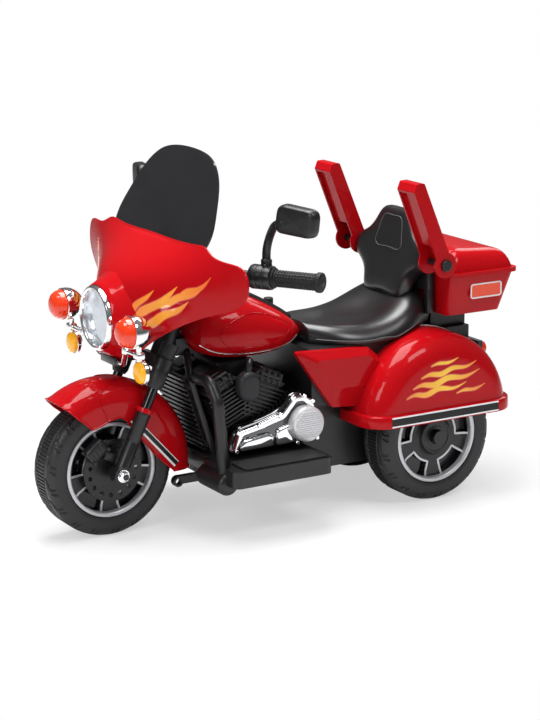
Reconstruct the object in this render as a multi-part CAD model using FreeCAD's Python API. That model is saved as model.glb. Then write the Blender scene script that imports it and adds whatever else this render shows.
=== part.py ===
"""Three-wheeled electric ride-on motorbike for a small child.

Millimetres. The front faces -Y, the rider's left is +X and +Z is up. The origin is on the ground,
in the middle of the overall length and width.
"""
import FreeCAD
import Part
import math
import os

V = FreeCAD.Vector

# Fits
GAP = 0.3            # air between pieces that move past each other
RUN = 0.06           # radial clearance of a turning fit
WALL = 4.0           # moulded wall
SKIN = 3.0           # thin moulded cover

# Wheels
TYRE_R = 125.0
TYRE_W = 75.0
TYRE_ROUND = 17.0
RIM_R = 90.0
RIM_W = 70.0
WEB_W = 46.0
HUB_R = 34.0
POCKETS = 5
POCKET_DEPTH = 6.0
AXLE_R = 6.0
DISC_R = 58.0
DISC_HOLES = 15
CALIPER_HALF_W = 20.0
CALIPER_TURN = 65.0
FRONT_AXLE_Y = -350.0
WHEELBASE = 625.0
TRACK = 253.0
REAR_AXLE_Y = FRONT_AXLE_Y + WHEELBASE
WHEEL_X = TRACK / 2

# Steering axis and fork
RAKE = 25.0
FORK_OFFSET = 28.0
LEG_X = 68.0
LEG_R = 13.0
TUBE_R = 9.0
COVER_R = 15.5
LEG_TOP = 118.0
COLLAR_H = 9.0
COVER_BOTTOM = 165.0
COVER_TOP = 250.0
CROWN_BOTTOM = 200.0
CROWN_TOP = 222.0
STEM_R = 10.0
HEAD_R = 19.0
HEAD_TOP = 290.0

# Handlebar
BAR_R = 9.0
BAR_Z = 480.0
BAR_KINK_X = 130.0
BAR_END_X = 276.0
BAR_SWEEP = 33.0
GRIP_R = 15.0
GRIP_LENGTH = 92.0
BLOCK_LENGTH = 44.0
BLOCK_R = 22.0

# Front fender
FENDER_R = 165.0
FENDER_HALF_W = 52.0
SKIRT_R = 74.0

# Fairing and windshield
WING_X = 296.0
FAIRING_Y = -245.0
FAIRING_TOP = 542.0
BROW_DROP = 78.0
NOSE = 104.0
NOSE_HALF_W = 132.0
WING_SWEEP = 28.0
SHIELD_TOP = 691.0
SHIELD_BASE = 522.0
SHIELD_LEAN = 0.47

# Lamps
HEADLIGHT_Z = 399.0
HEADLIGHT_R = 59.0
HEADLIGHT_FRONT = -364.0
BARREL_R = 55.0
BARREL_BACK = -300.0
SPOT_X = 133.0
SPOT_R = 30.0
SPOT_FRONT = -378.0
SIGNAL_Z = 325.0
SIGNAL_R = 22.0
SIGNAL_FRONT = -344.0
LAMP_BAR_R = 5.0
LAMP_BAR_Z = 355.0

# Chassis tray and footboards
FLOOR_Z = 76.0
DECK_Z = 134.0
TYRE_ROOM = 5.0      # air between the body and the rear tyres
TRAY_HALF_W = WHEEL_X - TYRE_W / 2 - TYRE_ROOM
TRAY_FRONT = -176.0
TRAY_REAR = 402.0
BOARD_X = 200.0
BOARD_H = 30.0
BOARD_FRONT = -188.0
BOARD_REAR = 19.0
BOARD_ROLL_R = 21.0
MAT_X = 138.0
MAT_T = 3.0
TOW_R = 6.0
TOW_EYE_R = 10.0
TOW_X = 40.0
TOW_LENGTH = 12.0
TOW_REACH = 43.0

# Frame
SPINE_HALF_W = 20.0
SPINE_BOTTOM = 314.0
SPINE_TOP = 345.0
DOWN_TUBE_X = 66.0
DOWN_TUBE_R = 7.0
GUARD_X = 152.0
GUARD_R = 11.0
GUARD_Y = -198.0
GUARD_TOP = 288.0

# Engine
ENGINE_HALF_W = 88.0
ENGINE_FRONT = -146.0
ENGINE_TOP = 205.0
V_Y = -100.0
V_Z = 150.0
V_TILT = 24.0
FIN_W = 74.0
FIN_T = 3.5
FIN_PITCH = 7.5
FIN_COUNT = 9
FIN_START = 50.0
HEAD_H = 26.0
PRIMARY_T = 36.0
DERBY_R = 30.0
DERBY_T = 13.0

# Tank, seat and body
BODY_FRONT = 27.0
BODY_TOP = 313.0
SHOULDER_X = 110.0
SHOULDER_REAR = 215.0
SHOULDER_Z = 205.0
TANK_FRONT = -186.0
TANK_REAR = 50.0
TANK_HALF_W = 82.0
TANK_TOP = 420.0
TANK_BOTTOM = 303.0
CONSOLE_T = 6.0
CONSOLE_HALF_W = 24.0
SEAT_FRONT = TANK_REAR + 1
SEAT_REAR = 308.0
SEAT_HALF_W = 121.0
PANEL_T = 12.0
PANEL_FACE_T = 12.0
PANEL_ROUND = 5.0

# Backrest and armrests
REST_Y = 282.0
REST_Z = 456.0
REST_LEAN = 12.0
REST_T = 34.0
REST_TOP = 541.0
REST_PLATE_HALF_W = 100.0
REST_PLATE_TOP = 436.0
EAR_X = 112.0
EAR_HALF_H = 14.0
ARM_X = 115.0
ARM_W = 55.0
ARM_LENGTH = 166.0
ARM_WALL = 4.0
ARM_CHANNEL = 7.0
ARM_BOSS_R = 24.0
ARM_ANGLE = 68.0
PIN_R = 6.0
CAP_R = 11.0

# Rear fenders
REAR_FENDER_R = 161.0
REAR_FENDER_Z = 165.0
FENDER_SIDE = 24.0
REAR_FENDER_X = WHEEL_X + TYRE_W / 2 + FENDER_SIDE
REAR_FENDER_ROUND = 46.0
BAND_H = 24.0
BAND_T = 8.0
TAIL_T = 10.0
TAIL_LAMP_X = 100.0
TAIL_LAMP_Z = 268.0
TAIL_LAMP_R = 14.0

# Top case
CASE_BOTTOM = 348.0
CASE_SEAM = 424.0
CASE_FRONT = 313.0
CASE_REAR = 461.0
CASE_HALF_W = 148.0
CASE_TAPER = 18.0
CASE_CORNER = 14.0
LID_TOP_FRONT = 472.0
LID_TOP_REAR = 453.0
LID_ROUND = 8.0
LID_LIP = 6.0
LID_LIP_H = 8.0
LID_TAPER = 26.0
HINGE_PIN_R = 2.5
KNUCKLE_R = 5.5
KNUCKLE_W = 14.0
HINGE_Y = 469.5

# Drive
MODULE = 1.75
DRIVE_TEETH = 40
PINION_TEETH = 12
GEAR_W = 12.0
GEAR_X = WALL + 10 - TRAY_HALF_W
BACKLASH = 0.35
SLEEVE_R = 11.0
SHAFT_R = 3.0
MOTOR_R = 18.0
MOTOR_LENGTH = 60.0
BATTERY = (94.0, 151.0, 65.0)
BATTERY_FRONT = 48.0

# Controls
BUTTON_R = 9.0
BUTTON_Y = 0.0
BUTTON_TOP = 396.0
BUTTON_LENGTH = 24.0
BUTTON_TRAVEL = 5.0
ROCKER_Y = -92.0
ROCKER_PIVOT_R = 4.5
ROCKER_HALF = (7.0, 11.0)
PEDAL_X = (-188.0, -142.0)
PEDAL_HINGE_Y = -44.0
PEDAL_HINGE_Z = 144.0
PEDAL_LENGTH = 82.0
PEDAL_RISE = 14.0
PEDAL_PIN_R = 4.0

# Mirrors
MIRROR_X = 187.0
MIRROR_HEAD = (286.0, -117.0, 595.0)
MIRROR_SIZE = (92.0, 22.0, 56.0)
MIRROR_TURN = 20.0
STALK_R = 7.0


def box(x0, x1, y0, y1, z0, z1):
    """Block between two corners."""
    return Part.makeBox(x1 - x0, y1 - y0, z1 - z0, V(x0, y0, z0))


def rod(radius, start, end):
    """Round bar between two points."""
    start = V(*start)
    run = V(*end) - start
    return Part.makeCylinder(radius, run.Length, start, run)


def fused(shapes):
    """One solid from touching or overlapping shapes."""
    return shapes[0].multiFuse(shapes[1:]).removeSplitter()


def mirrored(shape):
    """The same shape on the other side of the bike."""
    return shape.mirror(V(0, 0, 0), V(1, 0, 0))


def both(shape):
    """A left piece and its right twin."""
    return [shape, mirrored(shape)]


def rounded_wire(points, radius):
    """Closed outline through points, with every corner rounded to one radius."""
    count = len(points)
    starts = []
    edges = []
    for i, corner in enumerate(points):
        back = (points[i - 1] - corner).normalize()
        ahead = (points[(i + 1) % count] - corner).normalize()
        half = back.getAngle(ahead) / 2
        reach = radius / math.tan(half)
        middle = corner + (back + ahead).normalize() * (radius / math.sin(half) - radius)
        starts.append((corner + back * reach, middle, corner + ahead * reach))
    for i, (start, middle, end) in enumerate(starts):
        edges.append(Part.Arc(start, middle, end).toShape())
        edges.append(Part.LineSegment(end, starts[(i + 1) % count][0]).toShape())
    return Part.Wire(edges)


def side_prism(outline, x0, x1, radius=0.0):
    """Prism along X over an outline of (y, z) corners."""
    points = [V(x0, y, z) for y, z in outline]
    if radius:
        wire = rounded_wire(points, radius)
    else:
        wire = Part.makePolygon(points + points[:1])
    return Part.Face(wire).extrude(V(x1 - x0, 0, 0))


def smooth_loop(points):
    """Closed smooth curve through points."""
    curve = Part.BSplineCurve()
    curve.interpolate(Points=points, PeriodicFlag=True)
    return Part.Wire(curve.toShape())


def bent_bar(points, radius, bend):
    """Round bar along straight runs joined by tangent bends."""
    points = [V(*p) for p in points]
    pieces = []
    start = points[0]
    for i in range(1, len(points) - 1):
        into = (points[i] - points[i - 1]).normalize()
        out = (points[i + 1] - points[i]).normalize()
        turn = into.getAngle(out)
        reach = bend * math.tan(turn / 2)
        first = points[i] - into * reach
        axis = into.cross(out).normalize()
        centre = first + axis.cross(into) * bend
        pieces.append(rod(radius, start, first))
        face = Part.Face(Part.Wire(Part.makeCircle(radius, first, into)))
        pieces.append(face.revolve(centre, axis, math.degrees(turn)))
        start = points[i] + out * reach
    pieces.append(rod(radius, start, points[-1]))
    return fused(pieces)


def spun_x(profile, x, y, z):
    """Solid of revolution about an X axis, from (along, radius) corners."""
    points = [V(x + a, y, z + r) for a, r in profile]
    return Part.Face(Part.makePolygon(points + points[:1])).revolve(V(x, y, z), V(1, 0, 0), 360)


def spun_y(profile, x, z):
    """Solid of revolution about a Y axis, from (y, radius) corners."""
    points = [V(x, y, z + r) for y, r in profile]
    return Part.Face(Part.makePolygon(points + points[:1])).revolve(V(x, 0, z), V(0, 1, 0), 360)


def edges_along_x(shape, radius_above):
    """Circular edges about X wider than a radius."""
    found = []
    for edge in shape.Edges:
        if isinstance(edge.Curve, Part.Circle) and edge.Curve.Radius > radius_above:
            found.append(edge)
    return found


def axle_point(y):
    """Wheel centre over the ground."""
    return (0.0, y, TYRE_R)


# The fork is drawn upright about the steering axis, with its foot level with the front axle,
# and then leant back.
AXIS = V(0, math.sin(math.radians(RAKE)), math.cos(math.radians(RAKE)))
NORMAL = V(0, math.cos(math.radians(RAKE)), -math.sin(math.radians(RAKE)))
FOOT = V(*axle_point(FRONT_AXLE_Y)) + NORMAL * FORK_OFFSET
LEAN = FreeCAD.Placement(FOOT, FreeCAD.Rotation(V(1, 0, 0), -RAKE))
BAR_S = (BAR_Z - FOOT.z) / AXIS.z
BAR_Y = FOOT.y + BAR_S * AXIS.y
BAR_RUN = V(math.cos(math.radians(BAR_SWEEP)), math.sin(math.radians(BAR_SWEEP)), 0)
BAR_KINK = V(BAR_KINK_X, BAR_Y, BAR_Z)
BAR_END = BAR_KINK + BAR_RUN * ((BAR_END_X - BAR_KINK_X) / BAR_RUN.x)


def leaned(shape):
    """Fork piece moved from upright to its rake."""
    shape = shape.copy()
    shape.Placement = LEAN
    return shape


def on_bar(distance):
    """Point on the left half of the bar, measured from its outer end."""
    return BAR_END - BAR_RUN * distance


# Wheels

def tyre(x, y):
    half = TYRE_W / 2
    seat = RIM_W / 2
    bead = RIM_R + 8
    profile = [(-seat, RIM_R), (seat, RIM_R), (half, bead), (half, TYRE_R), (-half, TYRE_R), (-half, bead)]
    body = spun_x(profile, x, y, TYRE_R)
    return body.makeFillet(TYRE_ROUND, edges_along_x(body, TYRE_R - 0.1))


def pocket(x, y, angle):
    """Trapezoid recess between two spokes."""
    inner = HUB_R + 8
    outer = RIM_R - 11
    spread_in = math.radians(20)
    spread_out = math.radians(29)
    corners = []
    polar = ((inner, -spread_in), (outer, -spread_out), (outer, spread_out), (inner, spread_in))
    for radius, spread in polar:
        turn = angle + spread
        corners.append((y + radius * math.cos(turn), TYRE_R + radius * math.sin(turn)))
    return side_prism(corners, x, x + WEB_W, 5.0)


def rim(x, y, bore):
    half = RIM_W / 2
    web = WEB_W / 2
    hub = half - 2
    profile = [(-half, RIM_R), (half, RIM_R), (half, RIM_R - 7), (web, RIM_R - 9), (web, HUB_R + 3),
               (hub, HUB_R), (hub, bore), (-hub, bore), (-hub, HUB_R), (-web, HUB_R + 3),
               (-web, RIM_R - 9), (-half, RIM_R - 7)]
    body = spun_x(profile, x, y, TYRE_R)
    cutters = []
    for i in range(POCKETS):
        angle = math.pi / 2 + i * 2 * math.pi / POCKETS
        cutters.append(pocket(x + web - POCKET_DEPTH, y, angle))
        cutters.append(pocket(x - web - WEB_W + POCKET_DEPTH, y, angle))
    return body.cut(cutters)


def brake_disc():
    x0 = RIM_W / 2 - 2
    disc = rod(DISC_R, (x0 + 4, FRONT_AXLE_Y, TYRE_R), (x0 + 7, FRONT_AXLE_Y, TYRE_R))
    spacer = rod(24, (x0, FRONT_AXLE_Y, TYRE_R), (x0 + 4, FRONT_AXLE_Y, TYRE_R))
    bore = rod(AXLE_R + RUN, (x0 - 1, FRONT_AXLE_Y, TYRE_R), (x0 + 9, FRONT_AXLE_Y, TYRE_R))
    holes = []
    circle = DISC_R - 12
    for i in range(DISC_HOLES):
        angle = i * 2 * math.pi / DISC_HOLES
        y = FRONT_AXLE_Y + circle * math.cos(angle)
        z = TYRE_R + circle * math.sin(angle)
        holes.append(rod(4, (x0 + 3, y, z), (x0 + 8, y, z)))
    return fused([disc, spacer]).cut([bore] + holes)


# Fork

def fork_legs():
    leg = rod(LEG_R, (LEG_X, -FORK_OFFSET, -16), (LEG_X, -FORK_OFFSET, LEG_TOP))
    boss = rod(LEG_R + 3, (LEG_X - LEG_R, -FORK_OFFSET, 0), (LEG_X + LEG_R, -FORK_OFFSET, 0))
    bore = rod(TUBE_R, (LEG_X, -FORK_OFFSET, 30), (LEG_X, -FORK_OFFSET, LEG_TOP + 1))
    axle = rod(AXLE_R, (0, -FORK_OFFSET, 0), (LEG_X + 2 * LEG_R, -FORK_OFFSET, 0))
    return both(leaned(fused([leg, boss]).cut([bore, axle])))


def fork_tubes():
    """Upper tubes with their moulded covers."""
    tube = rod(TUBE_R, (LEG_X, -FORK_OFFSET, 30), (LEG_X, -FORK_OFFSET, COVER_TOP))
    cover = rod(COVER_R, (LEG_X, -FORK_OFFSET, COVER_BOTTOM + 8), (LEG_X, -FORK_OFFSET, COVER_TOP))
    taper = Part.makeCone(TUBE_R + 3, COVER_R, 8, V(LEG_X, -FORK_OFFSET, COVER_BOTTOM))
    return both(leaned(fused([tube, cover, taper])))


def steering_stem():
    crown = box(-LEG_X, LEG_X, -FORK_OFFSET - 18, -FORK_OFFSET + 16, CROWN_BOTTOM, CROWN_TOP)
    ends = [rod(COVER_R + 3.5, (x, -FORK_OFFSET, CROWN_BOTTOM), (x, -FORK_OFFSET, CROWN_TOP))
            for x in (-LEG_X, LEG_X)]
    core = rod(HEAD_R + 2, (0, 0, CROWN_BOTTOM), (0, 0, CROWN_TOP))
    stem = rod(STEM_R, (0, 0, CROWN_BOTTOM), (0, 0, BAR_S))
    collar = rod(HEAD_R, (0, 0, HEAD_TOP + GAP), (0, 0, HEAD_TOP + 10))
    covers = [rod(COVER_R, (x, -FORK_OFFSET, 0), (x, -FORK_OFFSET, COVER_TOP)) for x in (-LEG_X, LEG_X)]
    upright = fused([crown, core, stem, collar] + ends).cut(covers)
    clamp = rod(BAR_R + 7, (-28, BAR_Y, BAR_Z), (28, BAR_Y, BAR_Z))
    bore = rod(BAR_R, (-40, BAR_Y, BAR_Z), (40, BAR_Y, BAR_Z))
    return fused([leaned(upright), clamp]).cut(bore)


def front_axle():
    bar = rod(AXLE_R, (-LEG_X - 24, FRONT_AXLE_Y, TYRE_R), (LEG_X + 24, FRONT_AXLE_Y, TYRE_R))
    nuts = []
    for side in (-1, 1):
        nuts.append(rod(11, (side * (LEG_X + LEG_R), FRONT_AXLE_Y, TYRE_R),
                        (side * (LEG_X + LEG_R + 9), FRONT_AXLE_Y, TYRE_R)))
    return fused([bar] + nuts)


def axle_spacers():
    """Bushes that fill the axle between the hub and the fork legs."""
    hub = RIM_W / 2 - 2
    left = (hub + 7 + GAP, LEG_X - LEG_R)
    right = (-(LEG_X - LEG_R), -hub - GAP)
    pieces = []
    for x0, x1 in (left, right):
        tube = rod(AXLE_R + 5, (x0, FRONT_AXLE_Y, TYRE_R), (x1, FRONT_AXLE_Y, TYRE_R))
        bore = rod(AXLE_R, (x0 - 1, FRONT_AXLE_Y, TYRE_R), (x1 + 1, FRONT_AXLE_Y, TYRE_R))
        pieces.append(tube.cut(bore))
    return pieces


def brake_caliper():
    """Block on the left leg that straddles the disc."""
    disc_x = RIM_W / 2 + 3.5
    arm_x = LEG_X - LEG_R + 3
    block = box(disc_x - 8, arm_x, -CALIPER_HALF_W, CALIPER_HALF_W, HUB_R + 6, DISC_R + 12)
    block = block.makeFillet(4, [e for e in block.Edges if abs(e.BoundBox.XLength) > 5])
    slot = box(disc_x - 2.5, disc_x + 2.5, -CALIPER_HALF_W - 4, CALIPER_HALF_W + 4, HUB_R, DISC_R + 5)
    block = block.cut(slot)
    block.Placement = FreeCAD.Placement(V(0, -FORK_OFFSET, 0), FreeCAD.Rotation(V(1, 0, 0), CALIPER_TURN))
    arm = box(arm_x - 10, arm_x, -FORK_OFFSET - DISC_R * 0.6, -FORK_OFFSET, AXLE_R + 8, AXLE_R + 26)
    return leaned(fused([block, arm])).cut(fork_legs())


# Front fender

def fender_section(inset):
    """Arched cross-section of the fender, skirts down."""
    half = FENDER_HALF_W - inset
    crown = FENDER_R - inset
    arch = ((half, SKIRT_R - 30), (half, 128), (half * 0.86, crown - 16), (half * 0.5, crown - 4),
            (0, crown), (-half * 0.5, crown - 4), (-half * 0.86, crown - 16), (-half, 128),
            (-half, SKIRT_R - 30))
    points = [V(x, FRONT_AXLE_Y, TYRE_R + r) for x, r in arch]
    curve = Part.BSplineCurve()
    curve.interpolate(Points=points[1:-1])
    edges = [Part.LineSegment(points[0], points[1]).toShape(), curve.toShape(),
             Part.LineSegment(points[-2], points[-1]).toShape(),
             Part.LineSegment(points[-1], points[0]).toShape()]
    return Part.Face(Part.Wire(edges))


def front_fender():
    centre = V(*axle_point(FRONT_AXLE_Y))
    outer = fender_section(0).revolve(centre, V(1, 0, 0), 360)
    inner = fender_section(SKIN).revolve(centre, V(1, 0, 0), 360)
    shell = outer.cut(inner)
    y, z = FRONT_AXLE_Y, TYRE_R
    side = [(y - 110, z + 142), (y - 44, z + 84), (y + 20, z + 96), (y + 28, z + 80), (y + 118, z - 16),
            (y + 190, z - 16), (y + 190, z + 190), (y - 110, z + 190)]
    shell = shell.common(side_prism(side, -FENDER_HALF_W - 5, FENDER_HALF_W + 5))
    parts = [shell]
    for x in (-LEG_X, LEG_X):
        collar = rod(COVER_R, (x, -FORK_OFFSET, LEG_TOP), (x, -FORK_OFFSET, LEG_TOP + COLLAR_H))
        inward = math.copysign(FENDER_HALF_W - SKIN / 2, x)
        web = box(min(x, inward), max(x, inward), -FORK_OFFSET - 10, -FORK_OFFSET + 10,
                  LEG_TOP, LEG_TOP + COLLAR_H)
        parts.append(leaned(fused([collar, web])))
    tubes = [leaned(rod(TUBE_R, (x, -FORK_OFFSET, 0), (x, -FORK_OFFSET, COVER_TOP))) for x in (-LEG_X, LEG_X)]
    return fused(parts).cut(tubes)


# Fairing

def nose_bulge(z):
    """Share of the nose's full reach at a height: a flat slope, a brow, then a nearly upright face."""
    slope = max(0.0, (FAIRING_TOP - z) / BROW_DROP)
    below = max(0.0, HEADLIGHT_Z - z) / HEADLIGHT_R
    return slope / (1 + slope ** 4) ** 0.25 - 0.16 * below ** 2


def fairing_y(x, z):
    """Front surface of the fairing."""
    width = NOSE_HALF_W + 45 * (z - 370) / 130
    sweep = WING_SWEEP * (x / WING_X) ** 2
    return FAIRING_Y + sweep - NOSE * nose_bulge(z) * math.exp(-(x / width) ** 2)


def fairing_sheet(offset, thickness):
    """Slab that follows the fairing's front surface."""
    grid = []
    for i in range(29):
        x = -WING_X * 1.08 + i * WING_X * 2.16 / 28
        grid.append([V(x, fairing_y(x, z) + offset, z) for z in range(318, 575, 16)])
    surface = Part.BSplineSurface()
    surface.interpolate(grid)
    return surface.toShape().extrude(V(0, thickness, 0))


def fairing_outline(inset, y0, y1):
    """Bat-wing outline seen from the front, as a prism along Y."""
    right = ((46, 333), (86, 360), (140, 398), (208, 430), (268, 452), (WING_X - 3, 474), (WING_X, 499),
             (WING_X - 9, 517), (WING_X - 34, 524), (226, 526), (200, 532), (178, FAIRING_TOP - 1),
             (150, FAIRING_TOP))
    scale = (WING_X - inset) / WING_X
    points = [(0, 328)] + list(right) + [(0, FAIRING_TOP)] + [(-x, z) for x, z in reversed(right)]
    middle = HEADLIGHT_Z + 44
    loop = [V(x * scale, y0, middle + (z - middle) * (1 - inset / 110)) for x, z in points]
    return Part.Face(smooth_loop(loop)).extrude(V(0, y1 - y0, 0))


def headlight_hole(radius):
    return rod(radius, (0, HEADLIGHT_FRONT - 20, HEADLIGHT_Z), (0, -100, HEADLIGHT_Z))


def fairing_shell():
    shell = fairing_sheet(0, SKIN + 1).common(fairing_outline(0, -420, -100))
    return shell.cut(headlight_hole(BARREL_R))


def fairing_inner():
    """Dark liner behind the fairing, with the shelf that rests on the steering stem."""
    liner = fairing_sheet(SKIN + 1, SKIN).common(fairing_outline(5, -420, -100))
    shelf = box(-70, 70, -360, BAR_Y - 14, HEADLIGHT_Z + BARREL_R + 3, HEADLIGHT_Z + BARREL_R + 9)
    ahead = fairing_sheet(SKIN + 2, -200)
    stem = leaned(rod(STEM_R, (0, 0, 0), (0, 0, BAR_S)))
    whole = fused([liner, shelf.cut(ahead)])
    return whole.cut([headlight_hole(BARREL_R), stem])


def windshield():
    """Leaning screen whose foot stands just behind the fairing's top edge."""
    back = 2 * SKIN + 1 + GAP
    grid = []
    for i in range(15):
        x = -200 + i * 400 / 14
        column = []
        for z in range(505, 706, 20):
            column.append(V(x, fairing_y(x, FAIRING_TOP) + back + SHIELD_LEAN * (z - FAIRING_TOP), z))
        grid.append(column)
    surface = Part.BSplineSurface()
    surface.interpolate(grid)
    sheet = surface.toShape().extrude(V(0, SKIN + 0.5, 0))
    right = ((120, SHIELD_BASE), (160, SHIELD_BASE + 4), (170, 546), (154, 596), (124, 642), (82, 676),
             (38, SHIELD_TOP - 3))
    points = [(0, SHIELD_BASE)] + list(right) + [(0, SHIELD_TOP)] + [(-x, z) for x, z in reversed(right)]
    outline = Part.Face(smooth_loop([V(x, -320, z) for x, z in points])).extrude(V(0, 220, 0))
    return sheet.common(outline)


# Lamps

def headlight_bezel():
    front = HEADLIGHT_FRONT
    profile = [(front + 4, HEADLIGHT_R - 9), (front, HEADLIGHT_R - 6), (front, HEADLIGHT_R - 3),
               (front + 6, HEADLIGHT_R), (front + 16, HEADLIGHT_R), (front + 18, BARREL_R),
               (BARREL_BACK, BARREL_R), (BARREL_BACK, 0), (BARREL_BACK - SKIN, 0), (front + 40, 30),
               (front + 16, HEADLIGHT_R - 9)]
    return spun_y(profile, 0, HEADLIGHT_Z)


def headlight_lens():
    mouth = HEADLIGHT_R - 9
    front = HEADLIGHT_FRONT
    profile = [(front + 14, 0), (front + 14, mouth), (front + 8, mouth), (front + 3, mouth * 0.85),
               (front - 3, mouth * 0.5), (front - 5, 0)]
    return spun_y(profile, 0, HEADLIGHT_Z)


def lamp_bucket():
    front = SPOT_FRONT + 5
    profile = [(front, SPOT_R - 2.5), (front, SPOT_R), (front + 14, SPOT_R), (front + 36, SPOT_R * 0.6),
               (front + 44, 0), (front + 40, 0), (front + 33, SPOT_R * 0.5), (front + 12, SPOT_R - 2.5)]
    return spun_y(profile, SPOT_X, HEADLIGHT_Z)


def signal_cup():
    front = SIGNAL_FRONT + 4
    profile = [(front, SIGNAL_R - 2.5), (front, SIGNAL_R), (front + 8, SIGNAL_R),
               (front + 16, SIGNAL_R * 0.5), (front + 16, 0), (front + 6, 0), (front + 6, SIGNAL_R - 2.5)]
    return spun_y(profile, SPOT_X, SIGNAL_Z)


def crown_front(z):
    """Front face of the fork crown at a height."""
    ahead = FORK_OFFSET + 18
    along = (z - FOOT.z - ahead * math.sin(math.radians(RAKE))) / AXIS.z
    return FOOT.y - ahead * math.cos(math.radians(RAKE)) + along * AXIS.y


def light_bar():
    bar_y = SPOT_FRONT + 36
    low_z = 320.0
    path = [(-SPOT_X, bar_y, LAMP_BAR_Z), (-84, bar_y, LAMP_BAR_Z), (-46, bar_y + 14, low_z),
            (46, bar_y + 14, low_z), (84, bar_y, LAMP_BAR_Z), (SPOT_X, bar_y, LAMP_BAR_Z)]
    bar = bent_bar(path, LAMP_BAR_R, 14)
    bracket = box(-16, 16, bar_y + 14, crown_front(low_z) + 6, low_z - 4, low_z + 4)
    pieces = [bar, bracket]
    for bucket in both(lamp_bucket()) + both(signal_cup()):
        pieces.append(bucket)
    for x in (-SPOT_X, SPOT_X):
        pieces.append(rod(LAMP_BAR_R, (x, bar_y, SIGNAL_Z + SIGNAL_R - 2), (x, bar_y, HEADLIGHT_Z - 16)))
    hollow = []
    for x in (-SPOT_X, SPOT_X):
        front = SPOT_FRONT + 5
        inside = [(front - 1, 0), (front - 1, SPOT_R - 2.5), (front + 12, SPOT_R - 2.5),
                  (front + 33, SPOT_R * 0.5), (front + 40, 0)]
        hollow.append(spun_y(inside, x, HEADLIGHT_Z))
    return fused(pieces).cut(hollow)


def spot_lenses():
    r = SPOT_R - 2.5
    front = SPOT_FRONT
    profile = [(front + 16, 0), (front + 16, r), (front + 4, r), (front, r * 0.6), (front - 6, r * 0.28),
               (front - 7, 0)]
    return both(spun_y(profile, SPOT_X, HEADLIGHT_Z))


def signal_lenses():
    r = SIGNAL_R - 2.5
    front = SIGNAL_FRONT
    profile = [(front + 10, 0), (front + 10, r), (front + 3, r), (front, r * 0.7), (front - 1, 0)]
    return both(spun_y(profile, SPOT_X, SIGNAL_Z))


# Handlebar

def handlebar():
    left = BAR_END
    path = [(-left.x, left.y, left.z), (-BAR_KINK_X, BAR_Y, BAR_Z), (BAR_KINK_X, BAR_Y, BAR_Z),
            (left.x, left.y, left.z)]
    return bent_bar(path, BAR_R, 40)


def grips():
    outer = on_bar(-3)
    inner = on_bar(GRIP_LENGTH)
    body = rod(GRIP_R, outer, inner)
    flange = rod(GRIP_R + 3, outer, on_bar(8))
    rim_in = rod(GRIP_R + 3, on_bar(GRIP_LENGTH - 5), inner)
    return both(fused([body, flange, rim_in]).cut(rod(BAR_R, on_bar(0), on_bar(GRIP_LENGTH + 1))))


def switch_block():
    outer = on_bar(GRIP_LENGTH)
    inner = on_bar(GRIP_LENGTH + BLOCK_LENGTH)
    body = rod(BLOCK_R, outer, inner)
    body = body.makeFillet(4, [e for e in body.Edges if isinstance(e.Curve, Part.Circle)])
    seat = mirror_base()
    boss = rod(STALK_R + 3, (seat.x, seat.y, BAR_Z), (seat.x, seat.y, seat.z))
    bore = rod(BAR_R, on_bar(GRIP_LENGTH - 1), on_bar(GRIP_LENGTH + BLOCK_LENGTH + 1))
    return fused([body, boss]).cut(bore)


def mirror_base():
    """Top of the boss that the mirror stalk turns on."""
    run = (MIRROR_X - BAR_KINK.x) / BAR_RUN.x
    point = BAR_KINK + BAR_RUN * run
    return V(point.x, point.y, BAR_Z + BLOCK_R + 4)


def mirror():
    seat = mirror_base() + V(0, 0, GAP)
    head = V(*MIRROR_HEAD)
    width, depth, height = MIRROR_SIZE
    path = [tuple(seat), (seat.x, seat.y, seat.z + 18), (seat.x + 52, seat.y + 1, seat.z + 78),
            (head.x, head.y, head.z)]
    stalk = bent_bar(path, STALK_R, 24)
    foot = rod(STALK_R + 3, seat, seat + V(0, 0, 6))
    corners = [V(-width / 2, 0, -height / 2 + 4), V(width / 2 - 6, 0, -height / 2),
               V(width / 2, 0, height / 2 - 6), V(-width / 2 + 8, 0, height / 2)]
    plate = Part.Face(rounded_wire(corners, 15)).extrude(V(0, depth, 0))
    plate = plate.makeFillet(8, [e for e in plate.Edges if e.CenterOfMass.y < 0.01])
    glass_line = [c * 0.9 + V(0, depth - 2, 0) for c in corners]
    glass_room = Part.Face(rounded_wire(glass_line, 12)).extrude(V(0, 3, 0))
    plate = plate.cut(glass_room)
    plate.Placement = FreeCAD.Placement(head - V(0, depth / 2, 0), FreeCAD.Rotation(V(0, 0, 1), MIRROR_TURN))
    return fused([stalk, foot, plate])


# Chassis

def wheel_hole(radius):
    return rod(radius, (-TRACK, REAR_AXLE_Y, TYRE_R), (TRACK, REAR_AXLE_Y, TYRE_R))


def radiator_y(z):
    """Front plane of the leaning radiator."""
    return -212 + (264 - z) * 0.328


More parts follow.
